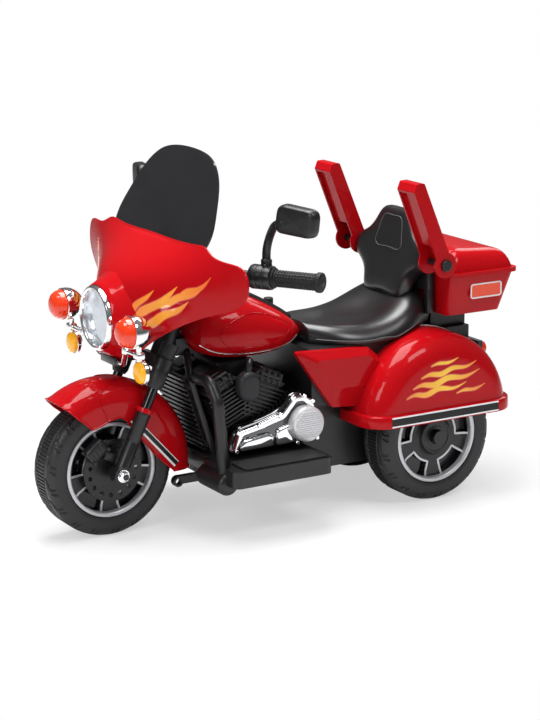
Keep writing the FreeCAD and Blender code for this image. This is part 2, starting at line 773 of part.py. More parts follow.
def chassis_tray():
    side = [(TRAY_FRONT, DECK_Z), (TRAY_FRONT, FLOOR_Z + 26), (TRAY_FRONT + 26, FLOOR_Z),
            (TRAY_REAR - 40, FLOOR_Z), (TRAY_REAR, FLOOR_Z + 30), (TRAY_REAR, DECK_Z)]
    tub = side_prism(side, -TRAY_HALF_W, TRAY_HALF_W)
    inner = box(-TRAY_HALF_W + WALL, TRAY_HALF_W - WALL, ENGINE_FRONT + WALL, TRAY_REAR - 44,
                FLOOR_Z + WALL, DECK_Z + 1)
    pieces = [tub]
    hollows = [inner]
    for side_sign in (-1, 1):
        x0, x1 = sorted((side_sign * TRAY_HALF_W, side_sign * BOARD_X))
        corners = [V(x0, BOARD_FRONT, 0), V(x1, BOARD_FRONT, 0), V(x1, BOARD_REAR, 0), V(x0, BOARD_REAR, 0)]
        wire = rounded_wire(corners, 14)
        wire.translate(V(0, 0, DECK_Z - BOARD_H))
        pieces.append(Part.Face(wire).extrude(V(0, 0, BOARD_H)))
        root = side_sign * (TRAY_HALF_W + 10)
        pieces.append(box(root - 10, root + 10, BOARD_FRONT, BOARD_REAR, DECK_Z - BOARD_H, DECK_Z))
        hollows.append(box(x0 + 2 * WALL, x1 - 2 * WALL, BOARD_FRONT + 40, BOARD_REAR - 2 * WALL,
                           DECK_Z - BOARD_H - 1, DECK_Z - WALL))
        roll = rod(BOARD_ROLL_R, (side_sign * TRAY_HALF_W, BOARD_FRONT + 6, DECK_Z - BOARD_H),
                   (side_sign * (GUARD_X + 18), BOARD_FRONT + 6, DECK_Z - BOARD_H))
        outer_end = [e for e in roll.Edges if abs(e.CenterOfMass.x) > GUARD_X + 17]
        pieces.append(roll.makeFillet(BOARD_ROLL_R * 0.5, outer_end))
    eye_y = TRAY_FRONT - TOW_REACH
    eye_z = FLOOR_Z + TOW_EYE_R - 2
    eye_x0, eye_x1 = TOW_X - TOW_LENGTH / 2, TOW_X + TOW_LENGTH / 2
    pieces.append(box(eye_x0, eye_x1, eye_y, TRAY_FRONT + 30, FLOOR_Z + 3, eye_z + TOW_EYE_R))
    pieces.append(rod(TOW_EYE_R, (eye_x0, eye_y, eye_z), (eye_x1, eye_y, eye_z)))
    for x in (PEDAL_X[0] - WALL, PEDAL_X[1]):
        pieces.append(box(x, x + WALL, PEDAL_HINGE_Y - 8, PEDAL_HINGE_Y + 8, DECK_Z - 2, PEDAL_HINGE_Z + 8))
    hollows.append(rod(TOW_R, (eye_x0 - 1, eye_y, eye_z), (eye_x1 + 1, eye_y, eye_z)))
    hollows.append(rod(PEDAL_PIN_R + RUN, (PEDAL_X[0] - 9, PEDAL_HINGE_Y, PEDAL_HINGE_Z),
                       (PEDAL_X[1] + 9, PEDAL_HINGE_Y, PEDAL_HINGE_Z)))
    hollows.append(rod(AXLE_R, (0, REAR_AXLE_Y, TYRE_R), (TRACK, REAR_AXLE_Y, TYRE_R)))
    hollows.append(rod(SLEEVE_R + GAP, (-TRACK, REAR_AXLE_Y, TYRE_R), (0, REAR_AXLE_Y, TYRE_R)))
    return fused(pieces).cut(hollows)


def footboard_mats():
    mat = box(MAT_X, BOARD_X - 6, BOARD_FRONT + 24, BOARD_REAR - 8, DECK_Z, DECK_Z + MAT_T)
    mat = mat.makeFillet(8, [e for e in mat.Edges if abs(e.BoundBox.ZLength) > 1])
    pedal_room = box(PEDAL_X[0] - 10, PEDAL_X[1] + 10, PEDAL_HINGE_Y - PEDAL_LENGTH - 8, PEDAL_HINGE_Y + 12,
                     DECK_Z - 1, DECK_Z + MAT_T + 1)
    return [mat, mirrored(mat).cut(pedal_room)]


def main_frame():
    head = leaned(rod(HEAD_R, (0, 0, CROWN_TOP + GAP), (0, 0, HEAD_TOP)))
    spine = box(-SPINE_HALF_W, SPINE_HALF_W, -208, BODY_FRONT, SPINE_BOTTOM, SPINE_TOP)
    pieces = [head, spine]
    for side in (-1, 1):
        top_y = radiator_y(280) + 14
        path = [(side * 14, -184, SPINE_BOTTOM + 8), (side * DOWN_TUBE_X, top_y, 280),
                (side * DOWN_TUBE_X, radiator_y(DECK_Z) + 14, DECK_Z)]
        pieces.append(bent_bar(path, DOWN_TUBE_R, 16))
    bore = leaned(rod(STEM_R + RUN, (0, 0, CROWN_TOP - 20), (0, 0, HEAD_TOP + 40)))
    below = leaned(rod(HEAD_R + 6, (0, 0, CROWN_BOTTOM), (0, 0, CROWN_TOP + GAP)))
    above = leaned(rod(HEAD_R + 6, (0, 0, HEAD_TOP), (0, 0, HEAD_TOP + 60)))
    floor = box(-100, 100, -260, -120, DECK_Z - 20, DECK_Z)
    return fused(pieces).cut([bore, below, above, floor])


def radiator():
    low, high = DECK_Z + 3, 282.0
    half = DOWN_TUBE_X - DOWN_TUBE_R - 1
    front = [(radiator_y(low), low), (radiator_y(high), high), (radiator_y(high) + 12, high),
             (radiator_y(low) + 12, low)]
    core = side_prism([(y + 4, z) for y, z in front[:2]] + front[2:], -half, half)
    slats = []
    count = 15
    for i in range(count):
        z = low + (i + 0.3) * (high - low) / count
        slats.append(side_prism([(radiator_y(z), z), (radiator_y(z) + 6, z), (radiator_y(z + 5) + 6, z + 5),
                                 (radiator_y(z + 5), z + 5)], -half, half))
    lugs = []
    for z in (low + 16, high - 16):
        y = radiator_y(z) + 8
        lugs.append(box(-DOWN_TUBE_X, DOWN_TUBE_X, y - 3, y + 3, z - 5, z + 5))
    return fused([core] + slats + lugs).cut(main_frame())


def crash_bar(frame, tray):
    path = [(DOWN_TUBE_X - 6, GUARD_Y + 2, GUARD_TOP - 8), (GUARD_X - 26, GUARD_Y, GUARD_TOP),
            (GUARD_X - 4, GUARD_Y + 4, GUARD_TOP - 34), (GUARD_X, BOARD_FRONT + 6, DECK_Z - BOARD_H)]
    return bent_bar(path, GUARD_R, 22).cut([frame, tray])


def engine_case():
    side = [(ENGINE_FRONT, DECK_Z), (ENGINE_FRONT, 168), (-122, ENGINE_TOP), (-84, 216), (-20, ENGINE_TOP),
            (BODY_FRONT, 190), (BODY_FRONT, DECK_Z)]
    return side_prism(side, -ENGINE_HALF_W, ENGINE_HALF_W)


def cylinder_block(shape, tilt):
    shape.Placement = FreeCAD.Placement(V(0, V_Y, V_Z), FreeCAD.Rotation(V(1, 0, 0), tilt))
    return shape


def cylinder(tilt):
    top = FIN_START + FIN_COUNT * FIN_PITCH
    core = box(-ENGINE_HALF_W + 4, ENGINE_HALF_W - 4, -FIN_W / 2 + 8, FIN_W / 2 - 8, 20, top)
    fins = []
    for i in range(FIN_COUNT):
        z = FIN_START + i * FIN_PITCH
        fins.append(box(-ENGINE_HALF_W - 4, ENGINE_HALF_W + 4, -FIN_W / 2, FIN_W / 2, z, z + FIN_T))
    return cylinder_block(fused([core] + fins), tilt)


def rocker_cover(tilt):
    top = FIN_START + FIN_COUNT * FIN_PITCH
    half = FIN_W / 2 - 5
    cover = box(-ENGINE_HALF_W, ENGINE_HALF_W, -half, half, top, top + HEAD_H)
    upper = [e for e in cover.Edges if e.CenterOfMass.z > top + HEAD_H - 0.1]
    return cylinder_block(cover.makeFillet(9, upper), tilt)


def horn_cover():
    """Teardrop cover between the cylinders."""
    x = ENGINE_HALF_W + 4
    y, z = V_Y - 3, 262.0
    loop = [V(x, y + dy, z + dz) for dy, dz in ((0, 27), (19, 17), (22, 0), (14, -24), (0, -29), (-14, -24),
                                                (-22, 0), (-19, 17))]
    body = Part.Face(smooth_loop(loop)).extrude(V(20, 0, 0))
    body = body.makeFillet(8, [e for e in body.Edges if e.CenterOfMass.x > x + 19])
    stem = rod(9, (x - 20, y, z + 4), (x, y, z + 4))
    return fused([body, stem])


def primary_cover():
    outline = [(-148, 140), (-148, 160), (-137, 190), (-88, 199), (-46, 211), (-20, 240), (8, 240), (26, 226),
               (44, 187), (38, 140)]
    body = side_prism(outline, ENGINE_HALF_W, ENGINE_HALF_W + PRIMARY_T, 4.0)
    face = [e for e in body.Edges if e.BoundBox.XMin > ENGINE_HALF_W + PRIMARY_T - 0.1]
    return body.makeFillet(3.5, face)


def derby_cover():
    x = ENGINE_HALF_W + PRIMARY_T
    profile = [(0, 0), (0, DERBY_R), (DERBY_T - 4, DERBY_R), (DERBY_T, DERBY_R - 5), (DERBY_T, 0)]
    return spun_x(profile, x, 7, 181)


# Body

def body_shell(fenders):
    outer = box(-TRAY_HALF_W, TRAY_HALF_W, BODY_FRONT, TRAY_REAR, DECK_Z, BODY_TOP)
    shoulders = box(-SHOULDER_X, SHOULDER_X, BODY_FRONT, SHOULDER_REAR, SHOULDER_Z, BODY_TOP)
    stand = TRAY_HALF_W - 14
    pedestal = box(-stand, stand, CASE_FRONT + 8, TRAY_REAR, BODY_TOP, CASE_BOTTOM)
    tail = box(-TAIL_LAMP_X - 16, TAIL_LAMP_X + 16, TRAY_REAR, TRAY_REAR + TAIL_T, TAIL_LAMP_Z - 18,
               TAIL_LAMP_Z + 18)
    hollows = [box(-TRAY_HALF_W + WALL, TRAY_HALF_W - WALL, BODY_FRONT + WALL, TRAY_REAR - WALL, DECK_Z - 1,
                   BODY_TOP - WALL),
               box(-SHOULDER_X + WALL, SHOULDER_X - WALL, BODY_FRONT + WALL, SHOULDER_REAR - WALL,
                   SHOULDER_Z + WALL, BODY_TOP - WALL),
               box(-stand + WALL, stand - WALL, CASE_FRONT + 8 + WALL, TRAY_REAR - WALL, BODY_TOP - 2 * WALL,
                   CASE_BOTTOM - WALL),
               wheel_hole(SLEEVE_R + GAP)]
    return fused([outer, shoulders, pedestal, tail]).cut(hollows + fenders)


def tank_section(y, half, bottom, top, grow=0.0):
    """Egg-shaped slice of the tank."""
    half = half + grow
    top = top + grow
    mid = bottom + (top - bottom) * 0.38
    right = ((half * 0.62, bottom + 1), (half * 0.95, bottom + (mid - bottom) * 0.55), (half, mid),
             (half * 0.9, mid + (top - mid) * 0.5), (half * 0.55, top - (top - mid) * 0.13))
    points = [(0, bottom)] + list(right) + [(0, top)] + [(-x, z) for x, z in reversed(right)]
    return smooth_loop([V(x, y, z) for x, z in points])


def tank_body(grow=0.0):
    length = TANK_REAR - TANK_FRONT
    rise = TANK_TOP - TANK_BOTTOM
    stations = ((0.0, 0.52, 0.30, 0.60), (0.07, 0.80, 0.14, 0.80), (0.26, 0.97, 0.03, 0.97),
                (0.45, 1.0, 0.0, 0.99), (0.62, 0.95, 0.0, 0.86), (0.80, 0.82, 0.04, 0.66),
                (0.92, 0.60, 0.12, 0.50), (1.0, 0.36, 0.16, 0.36))
    sections = []
    for along, wide, low, high in stations:
        y = TANK_FRONT + along * length
        low_z = TANK_BOTTOM + low * rise
        high_z = TANK_BOTTOM + high * rise
        sections.append(tank_section(y, TANK_HALF_W * wide, low_z, high_z, grow))
    return Part.makeLoft(sections, True, False)


def control_room():
    """Pockets in the tank and console for the push button and the rocker."""
    foot = BUTTON_TOP - BUTTON_LENGTH - BUTTON_TRAVEL
    button = rod(BUTTON_R + GAP, (0, BUTTON_Y, foot), (0, BUTTON_Y, BUTTON_TOP + 40))
    a, b = ROCKER_HALF
    rocker = box(-a - GAP, a + GAP, ROCKER_Y - b - 1, ROCKER_Y + b + 1, TANK_TOP - 14, TANK_TOP + 30)
    return [button, rocker]


def fuel_tank():
    tunnel = box(-SPINE_HALF_W, SPINE_HALF_W, TANK_FRONT - 50, TANK_REAR + 50, TANK_BOTTOM - 50, SPINE_TOP)
    head_room = leaned(rod(HEAD_R + 2 * GAP, (0, 0, CROWN_TOP), (0, 0, BAR_S)))
    body_room = box(-TANK_HALF_W, TANK_HALF_W, BODY_FRONT, TANK_REAR + 50, TANK_BOTTOM - 50, BODY_TOP)
    return tank_body().cut([tunnel, head_room, body_room] + control_room())


def tank_console():
    strip = box(-CONSOLE_HALF_W, CONSOLE_HALF_W, -128, TANK_REAR - 9, SPINE_TOP, TANK_TOP + 30)
    strip = strip.makeFillet(CONSOLE_HALF_W * 0.6, [e for e in strip.Edges if abs(e.BoundBox.ZLength) > 10])
    return tank_body(CONSOLE_T).common(strip).cut([tank_body()] + control_room())


def power_button():
    body = rod(BUTTON_R, (0, BUTTON_Y, BUTTON_TOP - BUTTON_LENGTH), (0, BUTTON_Y, BUTTON_TOP))
    return body.makeFillet(2, [e for e in body.Edges if e.CenterOfMass.z > BUTTON_TOP - 0.1])


def direction_switch():
    """Rocker that turns on an X axis at its middle."""
    a, b = ROCKER_HALF
    z = TANK_TOP + 1
    outline = [(ROCKER_Y - b + 1, z - 3), (ROCKER_Y + b - 1, z - 3), (ROCKER_Y + b, z + 6),
               (ROCKER_Y, z + 3.5), (ROCKER_Y - b, z + 8)]
    pivot = rod(ROCKER_PIVOT_R, (-a, ROCKER_Y, z), (a, ROCKER_Y, z))
    return fused([side_prism(outline, -a, a), pivot])


def seat_section(y, half, bottom, top, dish):
    """Slice of the moulded saddle: flat below, crowned at the edges."""
    rise = top - bottom
    right = ((half * 0.80, bottom), (half, bottom + rise * 0.30), (half * 0.90, bottom + rise * 0.8),
             (half * 0.55, top + dish * 0.2))
    points = [(0, bottom)] + list(right) + [(0, top - dish)] + [(-x, z) for x, z in reversed(right)]
    return smooth_loop([V(x, y, z) for x, z in points])


def seat(fenders):
    low = BODY_TOP
    stations = ((SEAT_FRONT, 0.50, low - 12, 350, 0), (82, 0.76, low - 12, 347, 2),
                (120, 0.92, low - 12, 343, 5), (160, 0.98, low - 12, 343, 6), (205, 1.0, low - 10, 352, 6),
                (245, 0.95, low - 6, 372, 4), (280, 0.80, low - 3, 392, 0),
                (SEAT_REAR, 0.66, low + 2, 386, 0))
    sections = [seat_section(y, SEAT_HALF_W * w, b, t, d) for y, w, b, t, d in stations]
    body = Part.makeLoft(sections, True, False)
    below = box(-150, 150, BODY_FRONT - 10, SEAT_REAR + 10, BODY_TOP - 60, BODY_TOP)
    return body.cut([below] + fenders)


def backrest(seat_body):
    base = 372.0
    right = ((62, base + 2), (72, 405), (92, 426), (EAR_X, REST_Z - EAR_HALF_H), (EAR_X, REST_Z + EAR_HALF_H),
             (86, 488), (60, 515), (46, REST_TOP - 6))
    points = [(0, base)] + list(right) + [(0, REST_TOP)] + [(-x, z) for x, z in reversed(right)]
    sections = []
    for depth, shrink in ((-0.5, 0.86), (-0.34, 0.97), (0.0, 1.0), (0.34, 0.97), (0.5, 0.86)):
        sections.append(smooth_loop([V(x * shrink, REST_Y + depth * REST_T, REST_Z + (z - REST_Z) * shrink)
                                     for x, z in points]))
    body = Part.makeLoft(sections, True, False)
    body.rotate(V(0, REST_Y, REST_Z), V(1, 0, 0), -REST_LEAN)
    pins = rod(PIN_R, (-EAR_X - 5, REST_Y, REST_Z), (EAR_X + 5, REST_Y, REST_Z))
    plate = box(-REST_PLATE_HALF_W, REST_PLATE_HALF_W, REST_Y + PIN_R + 4, CASE_FRONT - LID_LIP, CASE_BOTTOM,
                REST_PLATE_TOP)
    case_room = box(-200, 200, CASE_FRONT - 1.5, 500, 300, 500)
    limit = box(-EAR_X, EAR_X, 100, 400, 300, 700)
    return fused([body.common(limit), plate]).cut([seat_body, pins, case_room])


def armrest_pins():
    pin = rod(PIN_R, (EAR_X - 40, REST_Y, REST_Z), (ARM_X + ARM_W + GAP, REST_Y, REST_Z))
    cap = rod(CAP_R, (ARM_X + ARM_W + GAP, REST_Y, REST_Z), (ARM_X + ARM_W + 7, REST_Y, REST_Z))
    cap = cap.makeFillet(3, [e for e in cap.Edges if e.CenterOfMass.x > ARM_X + ARM_W + 6])
    return both(fused([pin, cap]))


def armrest():
    """Channel open to the front when raised, drawn lying forward and then raised about its pivot."""
    y, z = REST_Y, REST_Z
    x0, x1 = ARM_X, ARM_X + ARM_W
    side = [(y + 18, z - 14), (y + 18, z + 16), (y - ARM_LENGTH, z + 12), (y - ARM_LENGTH - 6, z - 4),
            (y - ARM_LENGTH + 6, z - 15)]
    bar = side_prism(side, x0, x1, 4.0)
    boss = rod(ARM_BOSS_R, (x0, y, z), (x1, y, z))
    floor = z - 15 + ARM_CHANNEL
    hollow_side = [(y + 60, z - 40), (y + 60, z + 16 - ARM_WALL - 1), (y - ARM_BOSS_R - 6, z + 14 - ARM_WALL),
                   (y - ARM_BOSS_R - 18, floor), (y - ARM_LENGTH + 10, floor), (y - ARM_LENGTH + 14, z - 40)]
    hollow = side_prism(hollow_side, x0 + ARM_WALL, x1 - ARM_WALL)
    body = fused([bar, boss]).cut([hollow, rod(PIN_R + RUN, (x0 - 1, y, z), (x1 + 1, y, z))])
    body.rotate(V(0, y, z), V(1, 0, 0), -ARM_ANGLE)
    return body


# Rear fenders

def fender_form(inset):
    """Filled half-round form of the left rear fender."""
    r = REAR_FENDER_R - inset
    y, z = REAR_AXLE_Y, REAR_FENDER_Z
    x1 = REAR_FENDER_X - inset
    arc = Part.Arc(V(TRAY_HALF_W, y - r, z), V(TRAY_HALF_W, y, z + r), V(TRAY_HALF_W, y + r, z)).toShape()
    base = Part.LineSegment(V(TRAY_HALF_W, y + r, z), V(TRAY_HALF_W, y - r, z)).toShape()
    body = Part.Face(Part.Wire([arc, base])).extrude(V(x1 - TRAY_HALF_W, 0, 0))
    rim_edge = []
    for edge in body.Edges:
        if isinstance(edge.Curve, Part.Circle) and edge.CenterOfMass.x > x1 - 1:
            rim_edge.append(edge)
    return body.makeFillet(REAR_FENDER_ROUND - inset, rim_edge)


def fender_band():
    """Lip along the lower edge."""
    grown = fender_form(-BAND_T)
    slab = box(TRAY_HALF_W, REAR_FENDER_X + 20, 0, 500, REAR_FENDER_Z, REAR_FENDER_Z + BAND_H)
    return grown.common(slab)


def rear_fender():
    body = fused([fender_form(0), fender_band()])
    tail_wall = box(TRAY_HALF_W, TRAY_HALF_W + SKIN, TRAY_REAR, TRAY_REAR + REAR_FENDER_R, 0, 500)
    return body.cut(fender_form(SKIN + 1).cut(tail_wall))


def side_panel(fender_solid):
    """Faceted cover between the seat and the fender, cut to the fender's front."""
    rim_line = [(-17, 317), (143, 308), (162, 292), (190, 266), (190, 192), (65, 203)]
    face_line = [(19, 299), (138, 295), (150, 286), (190, 258), (190, 238), (64, 241)]
    room_line = [(-2, 308), (138, 300), (156, 286), (190, 262), (190, 202), (70, 212)]
    x_rim = SHOULDER_X + PANEL_T
    base = side_prism(rim_line, SHOULDER_X, x_rim, PANEL_ROUND)
    wires = []
    for x, line in ((x_rim, rim_line), (x_rim + PANEL_FACE_T, face_line)):
        wires.append(rounded_wire([V(x, y, z) for y, z in line], PANEL_ROUND))
    cap = Part.makeLoft(wires, True, True)
    hollow = side_prism(room_line, SHOULDER_X - 1, x_rim)
    return fused([base, cap]).cut([hollow, fender_solid])


def tail_lights():
    front = TRAY_REAR + TAIL_T
    body = rod(TAIL_LAMP_R, (TAIL_LAMP_X, front, TAIL_LAMP_Z), (TAIL_LAMP_X, front + 14, TAIL_LAMP_Z))
    body = body.makeFillet(5, [e for e in body.Edges if e.CenterOfMass.y > front + 13])
    return both(body)


# Top case

def case_wire(half, front, rear, z, corner):
    points = [V(-half, front, z), V(half, front, z), V(half, rear, z), V(-half, rear, z)]
    return rounded_wire(points, corner)


def case_form(inset, bottom, top):
    """Tapered box between two heights."""
    corner = CASE_CORNER - inset
    low = case_wire(CASE_HALF_W - CASE_TAPER - inset, CASE_FRONT + 3 + inset,
                    CASE_REAR - CASE_TAPER - inset, bottom, corner)
    high = case_wire(CASE_HALF_W - inset, CASE_FRONT + inset, CASE_REAR - inset, top, corner)
    return Part.makeLoft([low, high], True, True)


def knuckles(starts, radius):
    """Hinge barrels along the rear edge."""
    return [rod(radius, (x, HINGE_Y, CASE_SEAM), (x + KNUCKLE_W - GAP, HINGE_Y, CASE_SEAM)) for x in starts]


CASE_KNUCKLES = (-84.0, -56.0, 42.0, 70.0)
LID_KNUCKLES = (-70.0, 56.0)


def top_case():
    outer = case_form(0, CASE_BOTTOM, CASE_SEAM)
    inner = case_form(WALL, CASE_BOTTOM + WALL, CASE_SEAM + 0.5)
    barrels = knuckles(CASE_KNUCKLES, KNUCKLE_R)
    tabs = []
    for x in CASE_KNUCKLES:
        tabs.append(box(x, x + KNUCKLE_W - GAP, CASE_REAR - 3, HINGE_Y, CASE_SEAM - KNUCKLE_R,
                        CASE_SEAM - 1))
    pin = rod(HINGE_PIN_R, (-100, HINGE_Y, CASE_SEAM), (100, HINGE_Y, CASE_SEAM))
    return fused([outer.cut(inner)] + barrels + tabs).cut(pin)


def lid_form(inset):
    """Tapered lid whose top slopes down to the rear."""
    corner = CASE_CORNER - inset
    front, rear = CASE_FRONT + 11 + inset, CASE_REAR - 14 - inset
    low = case_wire(CASE_HALF_W - inset, CASE_FRONT + inset, CASE_REAR - inset, CASE_SEAM + GAP, corner)
    high = case_wire(CASE_HALF_W - LID_TAPER - inset, front, rear, LID_TOP_FRONT - inset, corner)
    slope = (LID_TOP_FRONT - LID_TOP_REAR) / (rear - front)
    top_rear = LID_TOP_FRONT - inset - slope * (CASE_REAR - front)
    high_z = LID_TOP_FRONT - inset
    keep = [(CASE_FRONT, CASE_SEAM), (CASE_FRONT, high_z), (front, high_z), (CASE_REAR, top_rear),
            (CASE_REAR, CASE_SEAM)]
    return Part.makeLoft([low, high], True, True).common(side_prism(keep, -CASE_HALF_W, CASE_HALF_W))


def top_case_lid():
    seam = CASE_SEAM + GAP
    crown = lid_form(0)
    top = max(crown.Faces, key=lambda face: face.CenterOfMass.z)
    crown = crown.makeFillet(LID_ROUND, top.Edges)
    lip = Part.Face(case_wire(CASE_HALF_W + LID_LIP, CASE_FRONT - 1, CASE_REAR + LID_LIP, seam,
                              CASE_CORNER + 2)).extrude(V(0, 0, LID_LIP_H))
    inner = lid_form(WALL)
    barrels = knuckles(LID_KNUCKLES, KNUCKLE_R)
    tabs = []
    for x in LID_KNUCKLES:
        tabs.append(box(x, x + KNUCKLE_W - GAP, CASE_REAR, HINGE_Y, CASE_SEAM + 1,
                        CASE_SEAM + KNUCKLE_R))
    room = knuckles(CASE_KNUCKLES, KNUCKLE_R + 1)
    room = room + knuckles([x - 1 for x in CASE_KNUCKLES], KNUCKLE_R + 1)
    pin = rod(HINGE_PIN_R + RUN, (-100, HINGE_Y, CASE_SEAM), (100, HINGE_Y, CASE_SEAM))
    shell = fused([crown, lip]).cut([inner] + room)
    return fused([shell] + barrels + tabs).cut(pin)


def lid_hinge_pins():
    return both(rod(HINGE_PIN_R, (42, HINGE_Y, CASE_SEAM), (84 - GAP, HINGE_Y, CASE_SEAM)))


def case_side_x(z):
    """Outer face of the case's side at a height."""
    return CASE_HALF_W - CASE_TAPER * (CASE_SEAM - z) / (CASE_SEAM - CASE_BOTTOM)


def case_reflectors():
    z = 393.0
    y0, y1 = CASE_FRONT + 49, CASE_FRONT + 117
    x = case_side_x(z)
    plate = side_prism([(y0, z - 12), (y1, z - 12), (y1, z + 12), (y0, z + 12)], x - 6, x + 4, 6.0)
    plate = plate.cut(case_form(0, CASE_BOTTOM, CASE_SEAM))
    return both(plate)


# Drive

def gear(teeth, width, bore, x, y, z, phase):
    """Spur gear with straight-flanked teeth, thinned for backlash."""
    pitch = MODULE * teeth / 2
    tip = pitch + MODULE * 0.9
    root = pitch - MODULE * 1.2
    quarter = math.pi / teeth / 2
    slack = BACKLASH / 2 / pitch
    slope = math.tan(math.radians(20)) * MODULE / pitch
    points = []
    for i in range(teeth):
        centre = phase + i * 2 * math.pi / teeth
        crest = quarter - slack - slope
        for radius, half in ((root, quarter * 1.5), (tip, crest), (tip, -crest), (root, -quarter * 1.5)):
            angle = centre - half
            points.append((y + radius * math.cos(angle), z + radius * math.sin(angle)))
    body = side_prism(points, x, x + width)
    return body.cut(rod(bore, (x - 1, y, z), (x + width + 1, y, z)))


PITCH_SUM = MODULE * (DRIVE_TEETH + PINION_TEETH) / 2
PINION_Y = REAR_AXLE_Y - PITCH_SUM
DRIVE_TIP = MODULE * (DRIVE_TEETH / 2 + 0.9)
PINION_TIP = MODULE * (PINION_TEETH / 2 + 0.9)


def drive_gear():
    """Gear on the right wheel's sleeve: a gap faces the pinion."""
    phase = math.pi + math.pi / DRIVE_TEETH
    return gear(DRIVE_TEETH, GEAR_W, SLEEVE_R, GEAR_X, REAR_AXLE_Y, TYRE_R, phase)


def motor_pinion():
    body = gear(PINION_TEETH, GEAR_W, SHAFT_R - 1, GEAR_X, PINION_Y, TYRE_R, 0.0)
    shaft = rod(SHAFT_R, (GEAR_X, PINION_Y, TYRE_R), (GEAR_X + GEAR_W + 14, PINION_Y, TYRE_R))
    return fused([body, shaft])


def gearbox_housing():
    """Case round the gears, open towards the wheel's sleeve."""
    x0, x1 = GEAR_X - 5, GEAR_X + GEAR_W + 5
    room = 2.0
    outline = [(PINION_Y - PINION_TIP - 8, TYRE_R - 36), (REAR_AXLE_Y + DRIVE_TIP + 6, TYRE_R - 45),
               (REAR_AXLE_Y + DRIVE_TIP + 6, TYRE_R + 45), (PINION_Y - PINION_TIP - 8, TYRE_R + 36)]
    body = side_prism(outline, x0, x1, 8.0)
    axis = [(GEAR_X - GAP * 3, TYRE_R), (GEAR_X + GEAR_W + GAP * 3, TYRE_R)]
    big = rod(DRIVE_TIP + room, (axis[0][0], REAR_AXLE_Y, TYRE_R), (axis[1][0], REAR_AXLE_Y, TYRE_R))
    small = rod(PINION_TIP + room, (axis[0][0], PINION_Y, TYRE_R), (axis[1][0], PINION_Y, TYRE_R))
    sleeve = rod(SLEEVE_R + RUN, (x0 - 1, REAR_AXLE_Y, TYRE_R), (x1 + 1, REAR_AXLE_Y, TYRE_R))
    shaft = rod(SHAFT_R + RUN, (GEAR_X, PINION_Y, TYRE_R), (x1 + 1, PINION_Y, TYRE_R))
    foot = box(x0, x1, PINION_Y - 20, REAR_AXLE_Y + 30, FLOOR_Z + WALL, TYRE_R - 30)
    return fused([body, foot]).cut([big, small, sleeve, shaft])


def motor():
    x0 = GEAR_X + GEAR_W + 5
    can = rod(MOTOR_R, (x0, PINION_Y, TYRE_R), (x0 + MOTOR_LENGTH, PINION_Y, TYRE_R))
    tail = rod(6, (x0 + MOTOR_LENGTH, PINION_Y, TYRE_R), (x0 + MOTOR_LENGTH + 5, PINION_Y, TYRE_R))
    shaft = rod(SHAFT_R + RUN, (x0 - 1, PINION_Y, TYRE_R), (x0 + 12, PINION_Y, TYRE_R))
    return fused([can, tail]).cut(shaft)


def battery():
    length, width, height = BATTERY
    z = FLOOR_Z + WALL
    body = box(-length / 2, length / 2, BATTERY_FRONT, BATTERY_FRONT + width, z, z + height)
    pieces = [body]
    for x in (12 - length / 2, length / 2 - 12):
        pieces.append(box(x - 4, x + 4, BATTERY_FRONT + 8, BATTERY_FRONT + 16, z + height, z + height + 6))
    return fused(pieces)


def rear_axle():
    end = WHEEL_X + RIM_W / 2
    bar = rod(AXLE_R, (-end - 4, REAR_AXLE_Y, TYRE_R), (end + 4, REAR_AXLE_Y, TYRE_R))
    caps = []
    for side in (-1, 1):
        x = side * (end - 2 + GAP)
        caps.append(rod(13, (x, REAR_AXLE_Y, TYRE_R), (x + side * 12, REAR_AXLE_Y, TYRE_R)))
    return fused([bar] + caps)


def axle_bushings():
    """Bush between the left wall and the left hub, and the inner end bush of the drive sleeve."""
    hub = WHEEL_X - RIM_W / 2 + 2
    left = rod(AXLE_R + 5, (TRAY_HALF_W, REAR_AXLE_Y, TYRE_R), (hub - GAP, REAR_AXLE_Y, TYRE_R))
    inner_end = GEAR_X + GEAR_W + 5
    right = rod(AXLE_R + 5, (inner_end + GAP, REAR_AXLE_Y, TYRE_R), (inner_end + 12, REAR_AXLE_Y, TYRE_R))
    bore = rod(AXLE_R, (-TRACK, REAR_AXLE_Y, TYRE_R), (TRACK, REAR_AXLE_Y, TYRE_R))
    return [left.cut(bore), right.cut(bore)]


def drive_rim():
    """Right rim with the sleeve that carries the drive gear."""
    hub = -WHEEL_X + RIM_W / 2 - 2
    sleeve = rod(SLEEVE_R, (hub - 4, REAR_AXLE_Y, TYRE_R), (GEAR_X + GEAR_W + 5, REAR_AXLE_Y, TYRE_R))
    bore = rod(AXLE_R + RUN, (-TRACK, REAR_AXLE_Y, TYRE_R), (0, REAR_AXLE_Y, TYRE_R))
    return fused([rim(-WHEEL_X, REAR_AXLE_Y, AXLE_R + RUN), sleeve]).cut(bore)


def foot_pedal():
    x0, x1 = PEDAL_X[0] + GAP, PEDAL_X[1] - GAP
    y, z = PEDAL_HINGE_Y, PEDAL_HINGE_Z
    plate = side_prism([(y + 4, z + 5), (y + 4, z - 2), (y - PEDAL_LENGTH, z - 2 + PEDAL_RISE),
                        (y - PEDAL_LENGTH, z + 5 + PEDAL_RISE)], x0, x1, 2.5)
    pin = rod(PEDAL_PIN_R, (PEDAL_X[0] - WALL, y, z), (PEDAL_X[1] + WALL, y, z))
    return fused([plate, pin])


def save(node, shapes):
    """Write one named sub-part."""
    solids = []
    for shape in shapes if isinstance(shapes, list) else [shapes]:
        solids.extend(shape.Solids)
    body = solids[0] if len(solids) == 1 else Part.makeCompound(solids)
    body.exportStep(os.path.join("parts", node + ".step"))
    print(node, len(solids), round(body.Volume / 1000, 1), body.isValid())


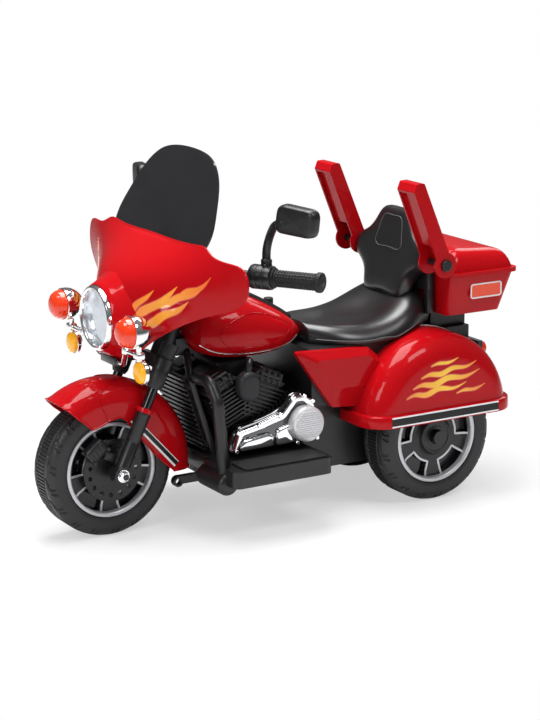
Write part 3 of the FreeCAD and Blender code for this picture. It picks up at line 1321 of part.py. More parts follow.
def main():
    os.makedirs("parts", exist_ok=True)
    tray = chassis_tray()
    frame = main_frame()
    stem = steering_stem()
    fender = rear_fender()
    filled = [fender_form(0), mirrored(fender_form(0))]
    saddle = seat(filled)
    panel = side_panel(fused([fender_form(0), fender_band()])).cut(saddle)
    engine = engine_case()
    cylinders = fused([cylinder(V_TILT), cylinder(-V_TILT)]).cut(engine)
    shoulder = box(0, SHOULDER_X, BODY_FRONT, SHOULDER_REAR, SHOULDER_Z, BODY_TOP)
    primary = fused([primary_cover(), derby_cover()]).cut([cylinders, shoulder])
    guard = crash_bar(frame, tray)

    save("chassis_tray", tray)
    save("footboard_mats", footboard_mats())
    save("main_frame", frame)
    save("radiator_grille", radiator())
    save("crash_bars", both(guard))
    save("engine_case", engine)
    save("engine_cylinders", cylinders)
    save("rocker_covers", [rocker_cover(V_TILT), rocker_cover(-V_TILT)])
    save("horn_covers", [c.cut(cylinders) for c in both(horn_cover())])
    save("primary_covers", both(primary))
    save("body_shell", body_shell(filled))
    save("fuel_tank", fuel_tank())
    save("tank_console", tank_console())
    save("seat", saddle)
    save("backrest", backrest(saddle))
    save("armrest_pins", armrest_pins())
    save("rear_fenders", both(fender))
    save("side_panels", both(panel))
    save("tail_lights", tail_lights())
    save("top_case", top_case())
    save("lid_hinge_pins", lid_hinge_pins())
    save("case_reflectors", case_reflectors())
    save("rear_axle", [rear_axle()] + axle_bushings())
    save("gearbox_housing", gearbox_housing())
    save("motor", motor())
    save("battery", battery())

    save("steering_stem", stem)
    save("fork_legs", fork_legs())
    save("fork_tubes", fork_tubes())
    save("front_axle", [front_axle()] + axle_spacers())
    save("brake_caliper", brake_caliper())
    save("front_fender", front_fender())
    save("fairing", fairing_shell())
    save("fairing_inner", fairing_inner())
    save("windshield", windshield())
    save("headlight_bezel", headlight_bezel())
    save("headlight_lens", headlight_lens())
    save("light_bar", light_bar().cut(stem))
    save("spot_lamp_lenses", spot_lenses())
    save("signal_lenses", signal_lenses())
    save("handlebar", handlebar())
    save("grips", grips())
    save("switch_blocks", both(switch_block()))

    save("front_tyre", tyre(0, FRONT_AXLE_Y))
    save("front_rim", rim(0, FRONT_AXLE_Y, AXLE_R + RUN))
    save("brake_disc", brake_disc())
    save("rear_tyre_left", tyre(WHEEL_X, REAR_AXLE_Y))
    save("rear_rim_left", rim(WHEEL_X, REAR_AXLE_Y, AXLE_R + RUN))
    save("rear_tyre_right", tyre(-WHEEL_X, REAR_AXLE_Y))
    save("rear_rim_right", drive_rim())
    save("drive_gear", drive_gear())
    save("motor_pinion", motor_pinion())
    save("mirror_left", mirror())
    save("mirror_right", mirrored(mirror()))
    save("armrest_left", armrest())
    save("armrest_right", mirrored(armrest()))
    save("top_case_lid", top_case_lid())
    save("foot_pedal", foot_pedal())
    save("power_button", power_button())
    save("direction_switch", direction_switch())


main()
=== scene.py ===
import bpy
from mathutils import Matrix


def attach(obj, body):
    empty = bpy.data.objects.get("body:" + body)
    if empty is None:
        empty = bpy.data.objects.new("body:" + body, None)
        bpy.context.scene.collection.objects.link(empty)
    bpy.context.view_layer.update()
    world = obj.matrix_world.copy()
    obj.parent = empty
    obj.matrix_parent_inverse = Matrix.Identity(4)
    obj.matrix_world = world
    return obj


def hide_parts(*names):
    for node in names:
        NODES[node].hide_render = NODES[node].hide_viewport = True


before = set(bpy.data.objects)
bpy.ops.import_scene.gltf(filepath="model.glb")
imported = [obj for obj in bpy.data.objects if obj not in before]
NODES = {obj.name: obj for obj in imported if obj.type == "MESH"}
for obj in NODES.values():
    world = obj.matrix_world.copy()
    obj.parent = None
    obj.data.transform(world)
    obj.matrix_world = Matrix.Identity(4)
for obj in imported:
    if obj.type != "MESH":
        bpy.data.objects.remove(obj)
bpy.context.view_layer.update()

import math

import bmesh
import bpy
import numpy as np
from mathutils import Vector, geometry

MM = 0.001
ACROSS, ALONG, UP = (1, 0, 0), (0, 1, 0), (0, 0, 1)
FULL_TURN, QUARTER = 2 * math.pi, math.pi / 2
scene = bpy.context.scene


# Materials

class Nodes:
    """The shader nodes of a material or world."""

    def __init__(self, owner, clear=True):
        owner.use_nodes = True
        self.tree = owner.node_tree
        if clear:
            self.tree.nodes.clear()

    def add(self, kind, inputs=(), **settings):
        node = self.tree.nodes.new("ShaderNode" + kind)
        for key, value in settings.items():
            setattr(node, key, value)
        self.feed(node, inputs)
        return node

    def feed(self, node, inputs):
        """Sets each input to a value, or links it to another node's socket."""
        for key, value in dict(inputs).items():
            if isinstance(value, bpy.types.NodeSocket):
                self.tree.links.new(value, node.inputs[key])
            else:
                node.inputs[key].default_value = value


def material(name, color, rough=0.4, vary=0.08, grain=(900.0, 0.03), edge=0.0, **sockets):
    """Principled surface with cloudy colour, uneven gloss, a fine moulded grain and softened edges."""
    mat = bpy.data.materials.new(name)
    nodes = Nodes(mat, clear=False)
    coords = nodes.add("TexCoord").outputs["Object"]
    noise = nodes.add("TexNoise", {"Scale": 16.0, "Detail": 4.0, "Vector": coords}).outputs["Fac"]
    dark = [c * (1 - vary) for c in color] + [1.0]
    pale = [min(1.0, c * (1 + vary)) for c in color] + [1.0]
    tint = nodes.add("Mix", {0: noise, 6: dark, 7: pale}, data_type="RGBA")
    gloss = nodes.add("MapRange", {"Value": noise, "To Min": rough * 0.85, "To Max": rough * 1.15})
    fine = nodes.add("TexNoise", {"Scale": grain[0], "Detail": 2.0, "Vector": coords})
    bump = nodes.add("Bump", {"Strength": grain[1], "Distance": 0.0006, "Height": fine.outputs["Fac"]})
    if edge:
        bevel = nodes.add("Bevel", {"Radius": edge * MM}, samples=4)
        nodes.feed(bump, {"Normal": bevel.outputs["Normal"]})
    shader = nodes.tree.nodes["Principled BSDF"]
    nodes.feed(shader, {"Base Color": tint.outputs[2], "Roughness": gloss.outputs["Result"],
                        "Normal": bump.outputs["Normal"]})
    nodes.feed(shader, {key.replace("_", " "): value for key, value in sockets.items()})
    return mat


def gradient_material(name, axis, low, high, stops):
    """Printed film whose colour runs along one axis, from the object's own coordinates."""
    mat = material(name, (0.5, 0.5, 0.5), 0.3, Coat_Weight=0.4, Coat_Roughness=0.08)
    nodes = Nodes(mat, clear=False)
    coords = next(n for n in nodes.tree.nodes if n.type == "TEX_COORD")
    split = nodes.add("SeparateXYZ", {0: coords.outputs["Object"]})
    size = nodes.add("Math", {0: split.outputs[axis]}, operation="ABSOLUTE")
    span = nodes.add("MapRange", {"Value": size.outputs[0], "From Min": low * MM, "From Max": high * MM})
    ramp = nodes.add("ValToRGB", {"Fac": span.outputs["Result"]})
    elements = ramp.color_ramp.elements
    while len(elements) < len(stops):
        elements.new(0.5)
    for element, (place, color) in zip(elements, stops):
        element.position = place
        element.color = (*color, 1.0)
    nodes.feed(nodes.tree.nodes["Principled BSDF"], {"Base Color": ramp.outputs["Color"]})
    return mat


RED = material("red_gloss", (0.42, 0.0033, 0.0065), 0.20, 0.05, (60.0, 0.008), 0.9, Coat_Weight=0.30,
               Coat_Roughness=0.04, Specular_IOR_Level=0.03)
BLACK = material("black_satin", (0.008, 0.008, 0.009), 0.36, 0.2, (1400.0, 0.05), 0.8,
                 Specular_IOR_Level=0.46)
GLOSS = material("black_gloss", (0.006, 0.006, 0.007), 0.14, 0.2, (80.0, 0.01), 0.6, Specular_IOR_Level=0.45)
GREY = material("dark_grey", (0.020, 0.020, 0.022), 0.46, 0.12, (1200.0, 0.08), 0.8, Specular_IOR_Level=0.35)
CHROME = material("chrome", (0.88, 0.89, 0.90), 0.06, 0.03, (40.0, 0.01), 0.8, Metallic=1.0)
SILVER = material("silver_paint", (0.52, 0.52, 0.54), 0.34, 0.06, (900.0, 0.03), Metallic=0.6)
# Chrome with a dark base colour: painted dark reflection, in place of the dark surroundings that bright
# chrome would mirror
CHROME_DARK_REFLECTION = material("chrome_painted_dark_reflection", (0.11, 0.11, 0.117), 0.12, 0.05, (60.0, 0.01), 0.8, Metallic=1.0)
BRIGHT = material("bright_silver", (0.78, 0.78, 0.80), 0.32, 0.05, (900.0, 0.02), 0.4, Metallic=0.35)
RUBBER = material("tyre_rubber", (0.018, 0.018, 0.019), 0.45, 0.22, (700.0, 0.08), Specular_IOR_Level=0.42)
GRIP = material("grip_rubber", (0.012, 0.012, 0.013), 0.55, 0.2, (900.0, 0.10), 0.5, Specular_IOR_Level=0.3)
VINYL = material("saddle_vinyl", (0.007, 0.007, 0.008), 0.32, 0.2, (420.0, 0.04), Specular_IOR_Level=0.72)
PIPING = material("piping", (0.07, 0.07, 0.074), 0.5, 0.15, (700.0, 0.05))
SCREEN = material("smoked_screen", (0.014, 0.014, 0.016), 0.12, 0.2, (30.0, 0.004), Alpha=0.95,
                  Specular_IOR_Level=0.5)
LENS = material("clear_lens", (0.95, 0.97, 1.0), 0.03, 0.02, (60.0, 0.01), Transmission_Weight=0.9,
                Alpha=0.16, IOR=1.45)
MIRROR = material("mirror_glass", (0.88, 0.89, 0.9), 0.02, 0.02, (30.0, 0.002), Metallic=1.0)
# Headlight bowl: metal with a faint bluish emission, a painted glow; no lamp shines in the headlight
REFLECTOR_PAINTED_GLOW = material("reflector", (0.90, 0.93, 0.97), 0.14, 0.05, (300.0, 0.02), Metallic=0.8,
                Emission_Color=(0.72, 0.84, 1.0, 1.0), Emission_Strength=0.07)
# Red lens: its emission is a painted glow; no lamp shines behind it
RED_LENS_PAINTED_GLOW = material("red_lens", (0.76, 0.040, 0.006), 0.18, 0.1, (250.0, 0.05), 0.5, Coat_Weight=0.4,
                    Emission_Color=(0.9, 0.05, 0.008, 1.0), Emission_Strength=0.06)
# Amber lens: its emission is a painted glow; no lamp shines behind it
AMBER_PAINTED_GLOW = material("amber_lens", (0.94, 0.44, 0.008), 0.24, 0.08, (250.0, 0.06), 0.5, Coat_Weight=0.35,
                 Emission_Color=(1.0, 0.46, 0.01, 1.0), Emission_Strength=0.14)
CORAL = material("coral_reflector", (0.80, 0.07, 0.02), 0.3, 0.12, (500.0, 0.25), Coat_Weight=0.4)
WHITE = material("white_film", (0.80, 0.80, 0.81), 0.3, 0.04, (900.0, 0.02))
INK = material("black_film", (0.009, 0.009, 0.009), 0.3, 0.2, (900.0, 0.02), Specular_IOR_Level=0.3)
STEEL = material("steel", (0.6, 0.6, 0.61), 0.28, 0.06, (500.0, 0.03), 0.5, Metallic=1.0)
NYLON = material("nylon", (0.72, 0.70, 0.64), 0.45, 0.06, (600.0, 0.05))
FLAME_EDGE = material("flame_edge", (0.62, 0.055, 0.05), 0.28, 0.06, (900.0, 0.02), Coat_Weight=0.4)
FLAME_NOSE = gradient_material("flame_nose", "X", 60, 215, (
    (0.0, (0.86, 0.20, 0.015)), (0.45, (0.90, 0.36, 0.03)), (1.0, (0.80, 0.13, 0.015))))
FLAME_TAIL = gradient_material("flame_tail", "Y", 170, 360, (
    (0.0, (0.82, 0.17, 0.01)), (0.55, (0.92, 0.55, 0.02)), (1.0, (0.84, 0.22, 0.01))))
SLOTS = {
    "red_plastic": (RED,), "black_plastic": (BLACK, GLOSS), "grey_plastic": (GREY,),
    "chrome_plating": (CHROME, SILVER, CHROME_DARK_REFLECTION, BRIGHT, MIRROR, REFLECTOR_PAINTED_GLOW), "tyre_rubber": (RUBBER,),
    "grip_rubber": (GRIP,), "saddle_vinyl": (VINYL, PIPING), "screen": (SCREEN,), "clear_lens": (LENS,),
    "red_lens": (RED_LENS_PAINTED_GLOW, CORAL), "amber_lens": (AMBER_PAINTED_GLOW,), "steel": (STEEL,), "gear_nylon": (NYLON,),
}
SLOT_OF = {mat.name: slot for slot, mats in SLOTS.items() for mat in mats}


# Mesh helpers: every size below is in millimetres, and a part is a pair of points and faces

class Shape:
    """Collects faces of one piece, each with a material."""

    def __init__(self):
        self.verts, self.faces, self.which, self.mats = [], [], [], []

    def add(self, part, mat, flip=False):
        verts, faces = part
        start = len(self.verts)
        self.verts.extend(tuple(v) for v in verts)
        if mat not in self.mats:
            self.mats.append(mat)
        index = self.mats.index(mat)
        for face in faces:
            ids = [start + i for i in face]
            self.faces.append(ids[::-1] if flip else ids)
            self.which.append(index)
        return self

    def add_both(self, part, mat):
        """The part and its twin across the middle of the bike."""
        self.add(part, mat)
        return self.add(moved(part, lambda x, y, z: (-x, y, z)), mat, True)

    def make(self, name, body, replaces=(), sharp=32.0, slot=None):
        """The finished piece, riding a body; edges over the sharp angle in degrees stay sharp."""
        mesh = bpy.data.meshes.new(name)
        mesh.from_pydata([(x * MM, y * MM, z * MM) for x, y, z in self.verts], [], self.faces)
        for mat in self.mats:
            mesh.materials.append(mat)
        mesh.polygons.foreach_set("material_index", self.which)
        bm = bmesh.new()
        bm.from_mesh(mesh)
        bmesh.ops.remove_doubles(bm, verts=bm.verts, dist=1e-6)
        bmesh.ops.recalc_face_normals(bm, faces=bm.faces)
        bm.to_mesh(mesh)
        bm.free()
        mesh.shade_smooth()
        mesh.set_sharp_from_angle(angle=math.radians(sharp))
        piece = bpy.data.objects.new(name, mesh)
        scene.collection.objects.link(piece)
        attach(piece, body)
        slot or SLOT_OF[self.mats[0].name]
        if replaces:
            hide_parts(*replaces)
        return piece


def moved(part, place):
    """A part with each point put elsewhere by place(x, y, z)."""
    return [tuple(place(*v)) for v in part[0]], part[1]


def smooth(x):
    """Soft step from 0 to 1."""
    x = np.clip(x, 0.0, 1.0)
    return x * x * (3 - 2 * x)


def interp(x, pairs):
    """Value at x on a broken line of (x, value) pairs."""
    return np.interp(x, *zip(*pairs))


def hermite(points, slopes, gaps, count, closed):
    """Samples of the cubic curve with given slopes at its points."""
    out = []
    total = float(np.sum(gaps))
    for i, gap in enumerate(gaps):
        a, b = points[i], points[(i + 1) % len(points)]
        m, n = slopes[i], slopes[(i + 1) % len(points)]
        steps = max(2, int(round(count * gap / total)))
        for k in range(steps):
            t = k / steps
            out.append((2 * t ** 3 - 3 * t ** 2 + 1) * a + (t ** 3 - 2 * t ** 2 + t) * gap * m
                       + (3 * t ** 2 - 2 * t ** 3) * b + (t ** 3 - t ** 2) * gap * n)
    if not closed:
        out.append(points[-1])
    return np.array(out)


def spline(points, count, closed=False, uniform=False):
    """Smooth curve through points, with the same curvature on both sides of each."""
    p = np.array(points, float)
    n = len(p)
    ends = np.roll(p, -1, 0) if closed else p[1:]
    gaps = np.linalg.norm(ends - p[:len(ends)], axis=1)
    if uniform:
        gaps = np.ones(len(gaps))
    matrix = np.zeros((n, n))
    right = np.zeros((n, p.shape[1]))
    for i in range(n):
        if closed or 0 < i < n - 1:
            before, after = gaps[i - 1], gaps[i % len(gaps)]
            matrix[i, i - 1] += 1 / before
            matrix[i, i] += 2 / before + 2 / after
            matrix[i, (i + 1) % n] += 1 / after
            right[i] = 3 * ((p[i] - p[i - 1]) / before ** 2 + (p[(i + 1) % n] - p[i]) / after ** 2)
        else:
            j = 1 if i == 0 else n - 2
            matrix[i, i], matrix[i, j] = 2, 1
            side = gaps[0] if i == 0 else gaps[-1]
            right[i] = 3 * (p[max(i, j)] - p[min(i, j)]) / side
    return hermite(p, np.linalg.solve(matrix, right), gaps, count, closed)


def ring_points(points, count):
    """Evenly spaced points on the smooth closed curve through some points."""
    line = spline(points, 400, closed=True)
    away = np.linalg.norm(np.roll(line, -1, 0) - line, axis=1)
    along = np.concatenate([[0], np.cumsum(away)])
    loop = np.concatenate([line, line[:1]])
    spots = np.linspace(0, along[-1], count, endpoint=False)
    return np.stack([np.interp(spots, along, loop[:, k]) for k in range(loop.shape[1])], 1)


def symmetric(right, first, last):
    """Closed outline from one half and the two heights where it crosses the middle."""
    return [(0, first)] + right + [(0, last)] + [(-x, z) for x, z in reversed(right)]


def rounded(points, radius, steps=5):
    """Outline with rounded corners."""
    out = []
    for i, c in enumerate(points):
        c = np.array(c, float)
        b, a = np.array(points[i - 1], float) - c, np.array(points[(i + 1) % len(points)], float) - c
        lb, la = np.hypot(*b), np.hypot(*a)
        reach = min(radius, lb * 0.45, la * 0.45)
        p, q = c + b / lb * reach, c + a / la * reach
        for k in range(steps + 1):
            t = k / steps
            out.append(tuple((1 - t) ** 2 * p + 2 * t * (1 - t) * c + t * t * q))
    return out


def grid(rows, closed_rows=False, caps=False, closed_ends=False):
    """Faces over rows of points; closed_rows joins each row's ends."""
    rows = [list(r) for r in rows]
    width = len(rows[0])
    verts = [tuple(p) for row in rows for p in row]
    faces = []
    last = len(rows) if closed_ends else len(rows) - 1
    for i in range(last):
        k = (i + 1) % len(rows)
        for j in range(width if closed_rows else width - 1):
            a, b = i * width + j, i * width + (j + 1) % width
            c, d = k * width + (j + 1) % width, k * width + j
            faces.append((a, b, c, d))
    if caps:
        faces.append(tuple(range(width))[::-1])
        faces.append(tuple(range((len(rows) - 1) * width, len(rows) * width)))
    return verts, faces


def solid(rings):
    """Closed form over rings of points."""
    return grid(rings, closed_rows=True, caps=True)


def frame_of(direction):
    """Two directions square to a direction."""
    d = Vector(direction).normalized()
    side = Vector(UP) if abs(d.z) < 0.9 else Vector(ALONG)
    u = d.cross(side).normalized()
    return u, d.cross(u).normalized()


def lathe(profile, origin, direction, count=64, wave=None, caps=True):
    """Round form: (along, radius) pairs about a line. wave(angle, along, radius) changes the radius."""
    origin = Vector(origin)
    d = Vector(direction).normalized()
    u, w = frame_of(d)
    rows = []
    for along, radius in profile:
        ring = []
        for k in range(count):
            angle = FULL_TURN * k / count
            r = max(radius, 0.01) + (wave(angle, along, radius) if wave else 0.0)
            ring.append(origin + d * along + u * (r * math.cos(angle)) + w * (r * math.sin(angle)))
        rows.append(ring)
    return grid(rows, closed_rows=True, caps=caps)


def tube(path, radius, sides=20, ends=True):
    """Round bar along a list of points, with rounded ends. The radius may change along it."""
    pts = [Vector(p) for p in path]
    radii = radius if isinstance(radius, list) else [radius] * len(pts)
    if ends:
        a, b = (pts[0] - pts[1]).normalized(), (pts[-1] - pts[-2]).normalized()
        r0, r1 = radii[0], radii[-1]
        pts = ([pts[0] + a * r0 * 0.35, pts[0] + a * r0 * 0.22] + pts
               + [pts[-1] + b * r1 * 0.22, pts[-1] + b * r1 * 0.35])
        radii = [r0 * 0.55, r0 * 0.85] + radii + [r1 * 0.85, r1 * 0.55]
    rows = []
    u = None
    for i, p in enumerate(pts):
        t = (pts[min(i + 1, len(pts) - 1)] - pts[max(i - 1, 0)]).normalized()
        if u is None:
            u = frame_of(t)[0]
        u = (u - t * u.dot(t)).normalized()
        w = t.cross(u)
        rows.append([p + u * (radii[i] * math.cos(FULL_TURN * k / sides))
                     + w * (radii[i] * math.sin(FULL_TURN * k / sides)) for k in range(sides)])
    return solid(rows)


def bead(line, radius, sides=8):
    """Round bead along a closed line."""
    line = list(line)
    return tube(line + line[:2], radius, sides, False)


def bent(points, bend, step=6):
    """Path of straight runs joined by round bends."""
    pts = [Vector(p) for p in points]
    out = [pts[0]]
    for before, corner, after in zip(pts, pts[1:], pts[2:]):
        into, away = (corner - before).normalized(), (after - corner).normalized()
        reach = bend * math.tan(into.angle(away) / 2)
        a, b = corner - into * reach, corner + away * reach
        for k in range(step + 1):
            t = k / step
            out.append(a.lerp(corner, t).lerp(corner.lerp(b, t), t))
    return out + [pts[-1]]


def block(lo, hi, radius, segments=3):
    """Box with rounded edges."""
    bm = bmesh.new()
    bmesh.ops.create_cube(bm, size=1.0)
    size = [b - a for a, b in zip(lo, hi)]
    for v in bm.verts:
        v.co = Vector([a + (c + 0.5) * s for a, c, s in zip(lo, v.co, size)])
    bmesh.ops.bevel(bm, geom=bm.edges[:], offset=radius, segments=segments, profile=0.5, affect="EDGES")
    bm.verts.index_update()
    part = [tuple(v.co) for v in bm.verts], [tuple(v.index for v in f.verts) for f in bm.faces]
    bm.free()
    return part


def plate(outline, x_base, low, high, round_high=0.0, steps=4):
    """Prism over a closed (y, z) outline, standing out to the left of x_base, with a rounded outer edge."""
    line = np.array(outline, float)
    ahead = np.roll(line, -1, 0) - np.roll(line, 1, 0)
    area = np.sum(line[:, 0] * np.roll(line[:, 1], -1) - np.roll(line[:, 0], -1) * line[:, 1])
    normal = np.stack([ahead[:, 1], -ahead[:, 0]], 1) * (1 if area > 0 else -1)
    normal /= np.linalg.norm(normal, axis=1)[:, None] + 1e-9
    levels = [(low, 0.0)]
    for k in range(steps + 1 if round_high else 1):
        t = QUARTER * k / steps
        levels.append((high - round_high + round_high * math.sin(t), round_high * (1 - math.cos(t))))
    rings = [line - normal * inset for _, inset in levels]
    rows = [[(x_base + height, y, z) for y, z in ring] for ring, (height, _) in zip(rings, levels)]
    verts, faces = grid(rows, closed_rows=True)
    for ring, start, turn in ((rings[0], 0, -1), (rings[-1], (len(rings) - 1) * len(line), 1)):
        for triangle in geometry.tessellate_polygon([[Vector((a, b, 0)) for a, b in ring]]):
            faces.append(tuple(start + i for i in triangle)[::turn])
    return verts, faces


def sheet_solid(points, faces, offset):
    """Closed shell from an open sheet and the shift to its other face."""
    top = [Vector(p) for p in points]
    low = [p + o for p, o in zip(top, offset)]
    n = len(top)
    edges = {(a, b) for face in faces for a, b in zip(face, face[1:] + face[:1])}
    walls = [(a, n + a, n + b, b) for a, b in sorted(edges) if (b, a) not in edges]
    return top + low, list(faces) + [tuple(n + i for i in f)[::-1] for f in faces] + walls


def shell(outer, inner):
    """Closed shell between two grids of points."""
    tops = [Vector(p) for row in outer for p in row]
    lows = [Vector(p) for row in inner for p in row]
    return sheet_solid(tops, grid(outer)[1], [b - a for a, b in zip(tops, lows)])


def inside(spots, loops):
    """Which spots lie within the first loop and outside the others (even-odd rule)."""
    result = np.zeros(len(spots), bool)
    for loop in loops:
        for (x0, y0), (x1, y1) in zip(loop, np.roll(loop, -1, 0)):
            if y0 == y1:
                continue
            crosses = (y0 > spots[:, 1]) != (y1 > spots[:, 1])
            result ^= crosses & (spots[:, 0] < (x1 - x0) * (spots[:, 1] - y0) / (y1 - y0) + x0)
    return result


def fill(outline, step, holes=()):
    """Triangles over a flat outline with inner points every step."""
    line = np.array(outline, float)
    loops = [line] + [np.array(h, float) for h in holes]
    lo, hi = line.min(0), line.max(0)
    points = [tuple(p) for loop in loops for p in loop]
    edges = []
    start = 0
    for loop in loops:
        edges += [(start + i, start + (i + 1) % len(loop)) for i in range(len(loop))]
        start += len(loop)
    gx = np.arange(lo[0] + step / 2, hi[0], step)
    gy = np.arange(lo[1] + step / 2, hi[1], step)
    spots = np.array([(x, y) for x in gx for y in gy]).reshape(-1, 2)
    keep = inside(spots, loops)
    for loop in loops:
        gap = np.min(np.linalg.norm(spots[:, None] - loop[None], axis=2), axis=1)
        keep &= gap > step * 0.45
    points += [tuple(p) for p in spots[keep]]
    verts, _, faces, _, _, _ = geometry.delaunay_2d_cdt([Vector(p) for p in points], edges, [], 0, 1e-6)
    flat = np.array([tuple(v) for v in verts])
    middle = np.array([flat[list(f)].mean(0) for f in faces])
    return flat, [list(f) for f, ok in zip(faces, inside(middle, loops)) if ok]


def skin(outline, step, depth, thick, holes=()):
    """Curved sheet over an outline seen from the front; depth(x, z) is its place fore and aft."""
    flat, faces = fill(outline, step, holes)
    return sheet_solid([(x, depth(x, z), z) for x, z in flat], faces, [Vector((0, thick, 0))] * len(flat))


def film(outline, surface, lift, step):
    """Thin printed film: an outline laid on surface(a, b), which gives a point and its outward direction."""
    flat, faces = fill(outline, step)
    spots = [surface(a, b) for a, b in flat]
    tops = [Vector(point) + Vector(normal) * lift for point, normal in spots]
    return sheet_solid(tops, faces, [Vector(normal) * -(lift + 0.6) for _, normal in spots])


def loft(slices, count=90):
    """Rings of a smooth loft through slices with equal numbers of points."""
    slices = np.array(slices)
    lines = [spline(slices[:, k], count, uniform=True) for k in range(slices.shape[1])]
    return [np.array([line[i] for line in lines]) for i in range(min(map(len, lines)))]


def end_rings(ring, steps):
    """Rings that round off a loft's end: each shrunk to a share and pushed out by a distance."""
    middle = ring.mean(0)
    return [middle + (ring - middle) * share + np.array([0, push, 0]) for share, push in steps]


def with_ends(rings, front, back):
    """Closed form of a loft with its ends rounded off."""
    return solid(end_rings(rings[0], front) + rings + end_rings(rings[-1], back))


# Shared sizes

AXLE_F, AXLE_R, TYRE_R = -350.0, 275.0, 125.0
WHEEL_X = 126.5
FRONT_AXLE = (0, AXLE_F, TYRE_R)
RAKE, FORK_AHEAD, LEG_X = math.radians(25), 28.0, 68.0
FORK_Y = -FORK_AHEAD
FOOT = Vector((0, AXLE_F + FORK_AHEAD * math.cos(RAKE), TYRE_R - FORK_AHEAD * math.sin(RAKE)))
LEAN_UP = Vector((0, math.sin(RAKE), math.cos(RAKE)))
BAR_Z, BAR_BEND_X, BAR_REACH, SWEEP = 480.0, 130.0, 146.0, math.radians(33)
BAR_Y = FOOT.y + (BAR_Z - FOOT.z) / math.cos(RAKE) * math.sin(RAKE)
BAR_RUN = Vector((math.cos(SWEEP), math.sin(SWEEP), 0))
BAR_END = Vector((BAR_BEND_X, BAR_Y, BAR_Z)) + BAR_RUN * (BAR_REACH / BAR_RUN.x)


def leaned(angle, y0, z0):
    """Function that takes points drawn upright about the origin to (y0, z0), leaned back by an angle."""
    c, s = math.cos(angle), math.sin(angle)
    return lambda x, y, z: (x, y0 + y * c + z * s, z0 - y * s + z * c)


def on_side(x, y0=0, z0=0):
    """Surface for films on an upright left side at x, drawn about (y0, z0)."""
    return lambda y, z: ((x, y0 + y, z0 + z), ACROSS)


lean = leaned(RAKE, FOOT.y, FOOT.z)


# Wheels

TREAD_HALF, SHOULDER, RIBS, HOOKS = 20.5, 17.0, 120, 18
RIB_HALF, RIB_DEEP, GROOVE_AT, GROOVE_DEEP = 14.9, 2.2, 16.3, 1.7
HOOK_START, HOOK_WIDE, HOOK_DEEP = 17.5, 2.9, 3.0
WALL_LINE_AT, WALL_LINE_HALF, WALL_LINE_DEEP = 54.0, 1.5, 0.5
# Grooves of one shoulder block, as (round the tyre, across the tread)
HOOK = np.array([(0, 19.5), (3, 24), (10, 27.5), (17, 28.5), (21, 33), (22, 40)], float)
TICK = np.array([(30, 34), (34, 41)], float)


def tyre(name, body, cx, cy, node):
    """Tyre with a ribbed middle band, hooked shoulder grooves and a line on each wall."""
    section = [(x, TYRE_R, x) for x in (0, 3, 6, 9, 12, 14.2, RIB_HALF, GROOVE_AT, 17.0, 18.8, TREAD_HALF)]
    for k in range(1, 19):
        a = QUARTER * k / 18
        section.append((TREAD_HALF + SHOULDER * math.sin(a), TYRE_R - SHOULDER + SHOULDER * math.cos(a),
                        TREAD_HALF + SHOULDER * a))
    section += [(37.5, 104, 51), (37.5, 100, 55), (37.2, 97, 58), (36.2, 93.5, 62), (35.0, 90.2, 65)]
    section = [(-x, r, -t) for x, r, t in section[:0:-1]] + section
    x, r, t = np.array(section, float).T
    on_tread = np.abs(x) <= TREAD_HALF
    nx = np.where(on_tread, 0.0, (np.abs(x) - TREAD_HALF) / SHOULDER) * np.sign(x)
    nr = np.where(on_tread, 1.0, np.clip((r - TYRE_R + SHOULDER) / SHOULDER, 0, 1))
    angle = np.arange(720) * FULL_TURN / 720
    ribs = 0.5 + 0.5 * np.sign(np.sin(angle * RIBS + 0.26))
    depth = RIB_DEEP * ribs[:, None] * smooth((RIB_HALF - np.abs(t)) / 0.8)[None]
    depth += GROOVE_DEEP * np.exp(-((np.abs(t) - GROOVE_AT) / 0.9) ** 2)[None]
    cell = FULL_TURN / HOOKS
    for side, shift in ((1, 0.0), (-1, 0.5)):
        local = ((angle / cell + shift) % 1.0) * cell * TYRE_R
        px = np.broadcast_to(local[:, None], depth.shape)
        py = np.broadcast_to((t * side)[None], depth.shape)
        gap = np.full(depth.shape, 99.0)
        for line in (HOOK, TICK):
            for a, b in zip(line[:-1], line[1:]):
                run = b - a
                k = np.clip(((px - a[0]) * run[0] + (py - a[1]) * run[1]) / run.dot(run), 0, 1)
                gap = np.minimum(gap, np.hypot(px - a[0] - k * run[0], py - a[1] - k * run[1]))
        depth += HOOK_DEEP * smooth(HOOK_WIDE - gap) * (py > HOOK_START)
    depth += WALL_LINE_DEEP * (np.abs(np.abs(t) - WALL_LINE_AT) < WALL_LINE_HALF)[None]
    rows = []
    for a, cut in zip(angle, depth):
        rr = r - cut * nr
        rows.append(np.stack([cx + x - cut * nx, cy + rr * math.cos(a), TYRE_R + rr * math.sin(a)], 1))
    Shape().add(grid(rows, closed_rows=True, closed_ends=True), RUBBER).make(name, body, (node,), 50)


SPOKES, HUB_TOP = 5, 33.0
POCKET_IN, POCKET_OUT, POCKET_HALF, POCKET_DEEP = 51.0, 79.0, math.radians(22.5), 9.0
# Heights of a wheel's face over its middle, by radius: hub, dish, whole face and base of the silver lines
HUB = [(r, HUB_TOP - sunk) for r, sunk in ((0, 5), (9, 5), (9.5, 2), (14, 2), (14.6, 0), (20, 0), (20.6, 1.2),
                                           (28, 1.2), (29, 0), (33, 0), (34.4, 6))]
DISH = [(37.5, 24.5), (40, 23.0), (78, 23.0), (81, 25.0)]
FACE = HUB + DISH + [(83.4, 33.8), (84, 34.6), (88, 34.8), (89.8, 33.6)]
LINE_BASE = DISH + [(82.6, 30.5)]


def pocket_gap(radius, angle):
    """Distance outside a wheel's pocket: part of a ring between two radii, either side of its middle."""
    return np.maximum(np.maximum((np.abs(angle) - POCKET_HALF) * radius, POCKET_IN - radius),
                      radius - POCKET_OUT - 1)


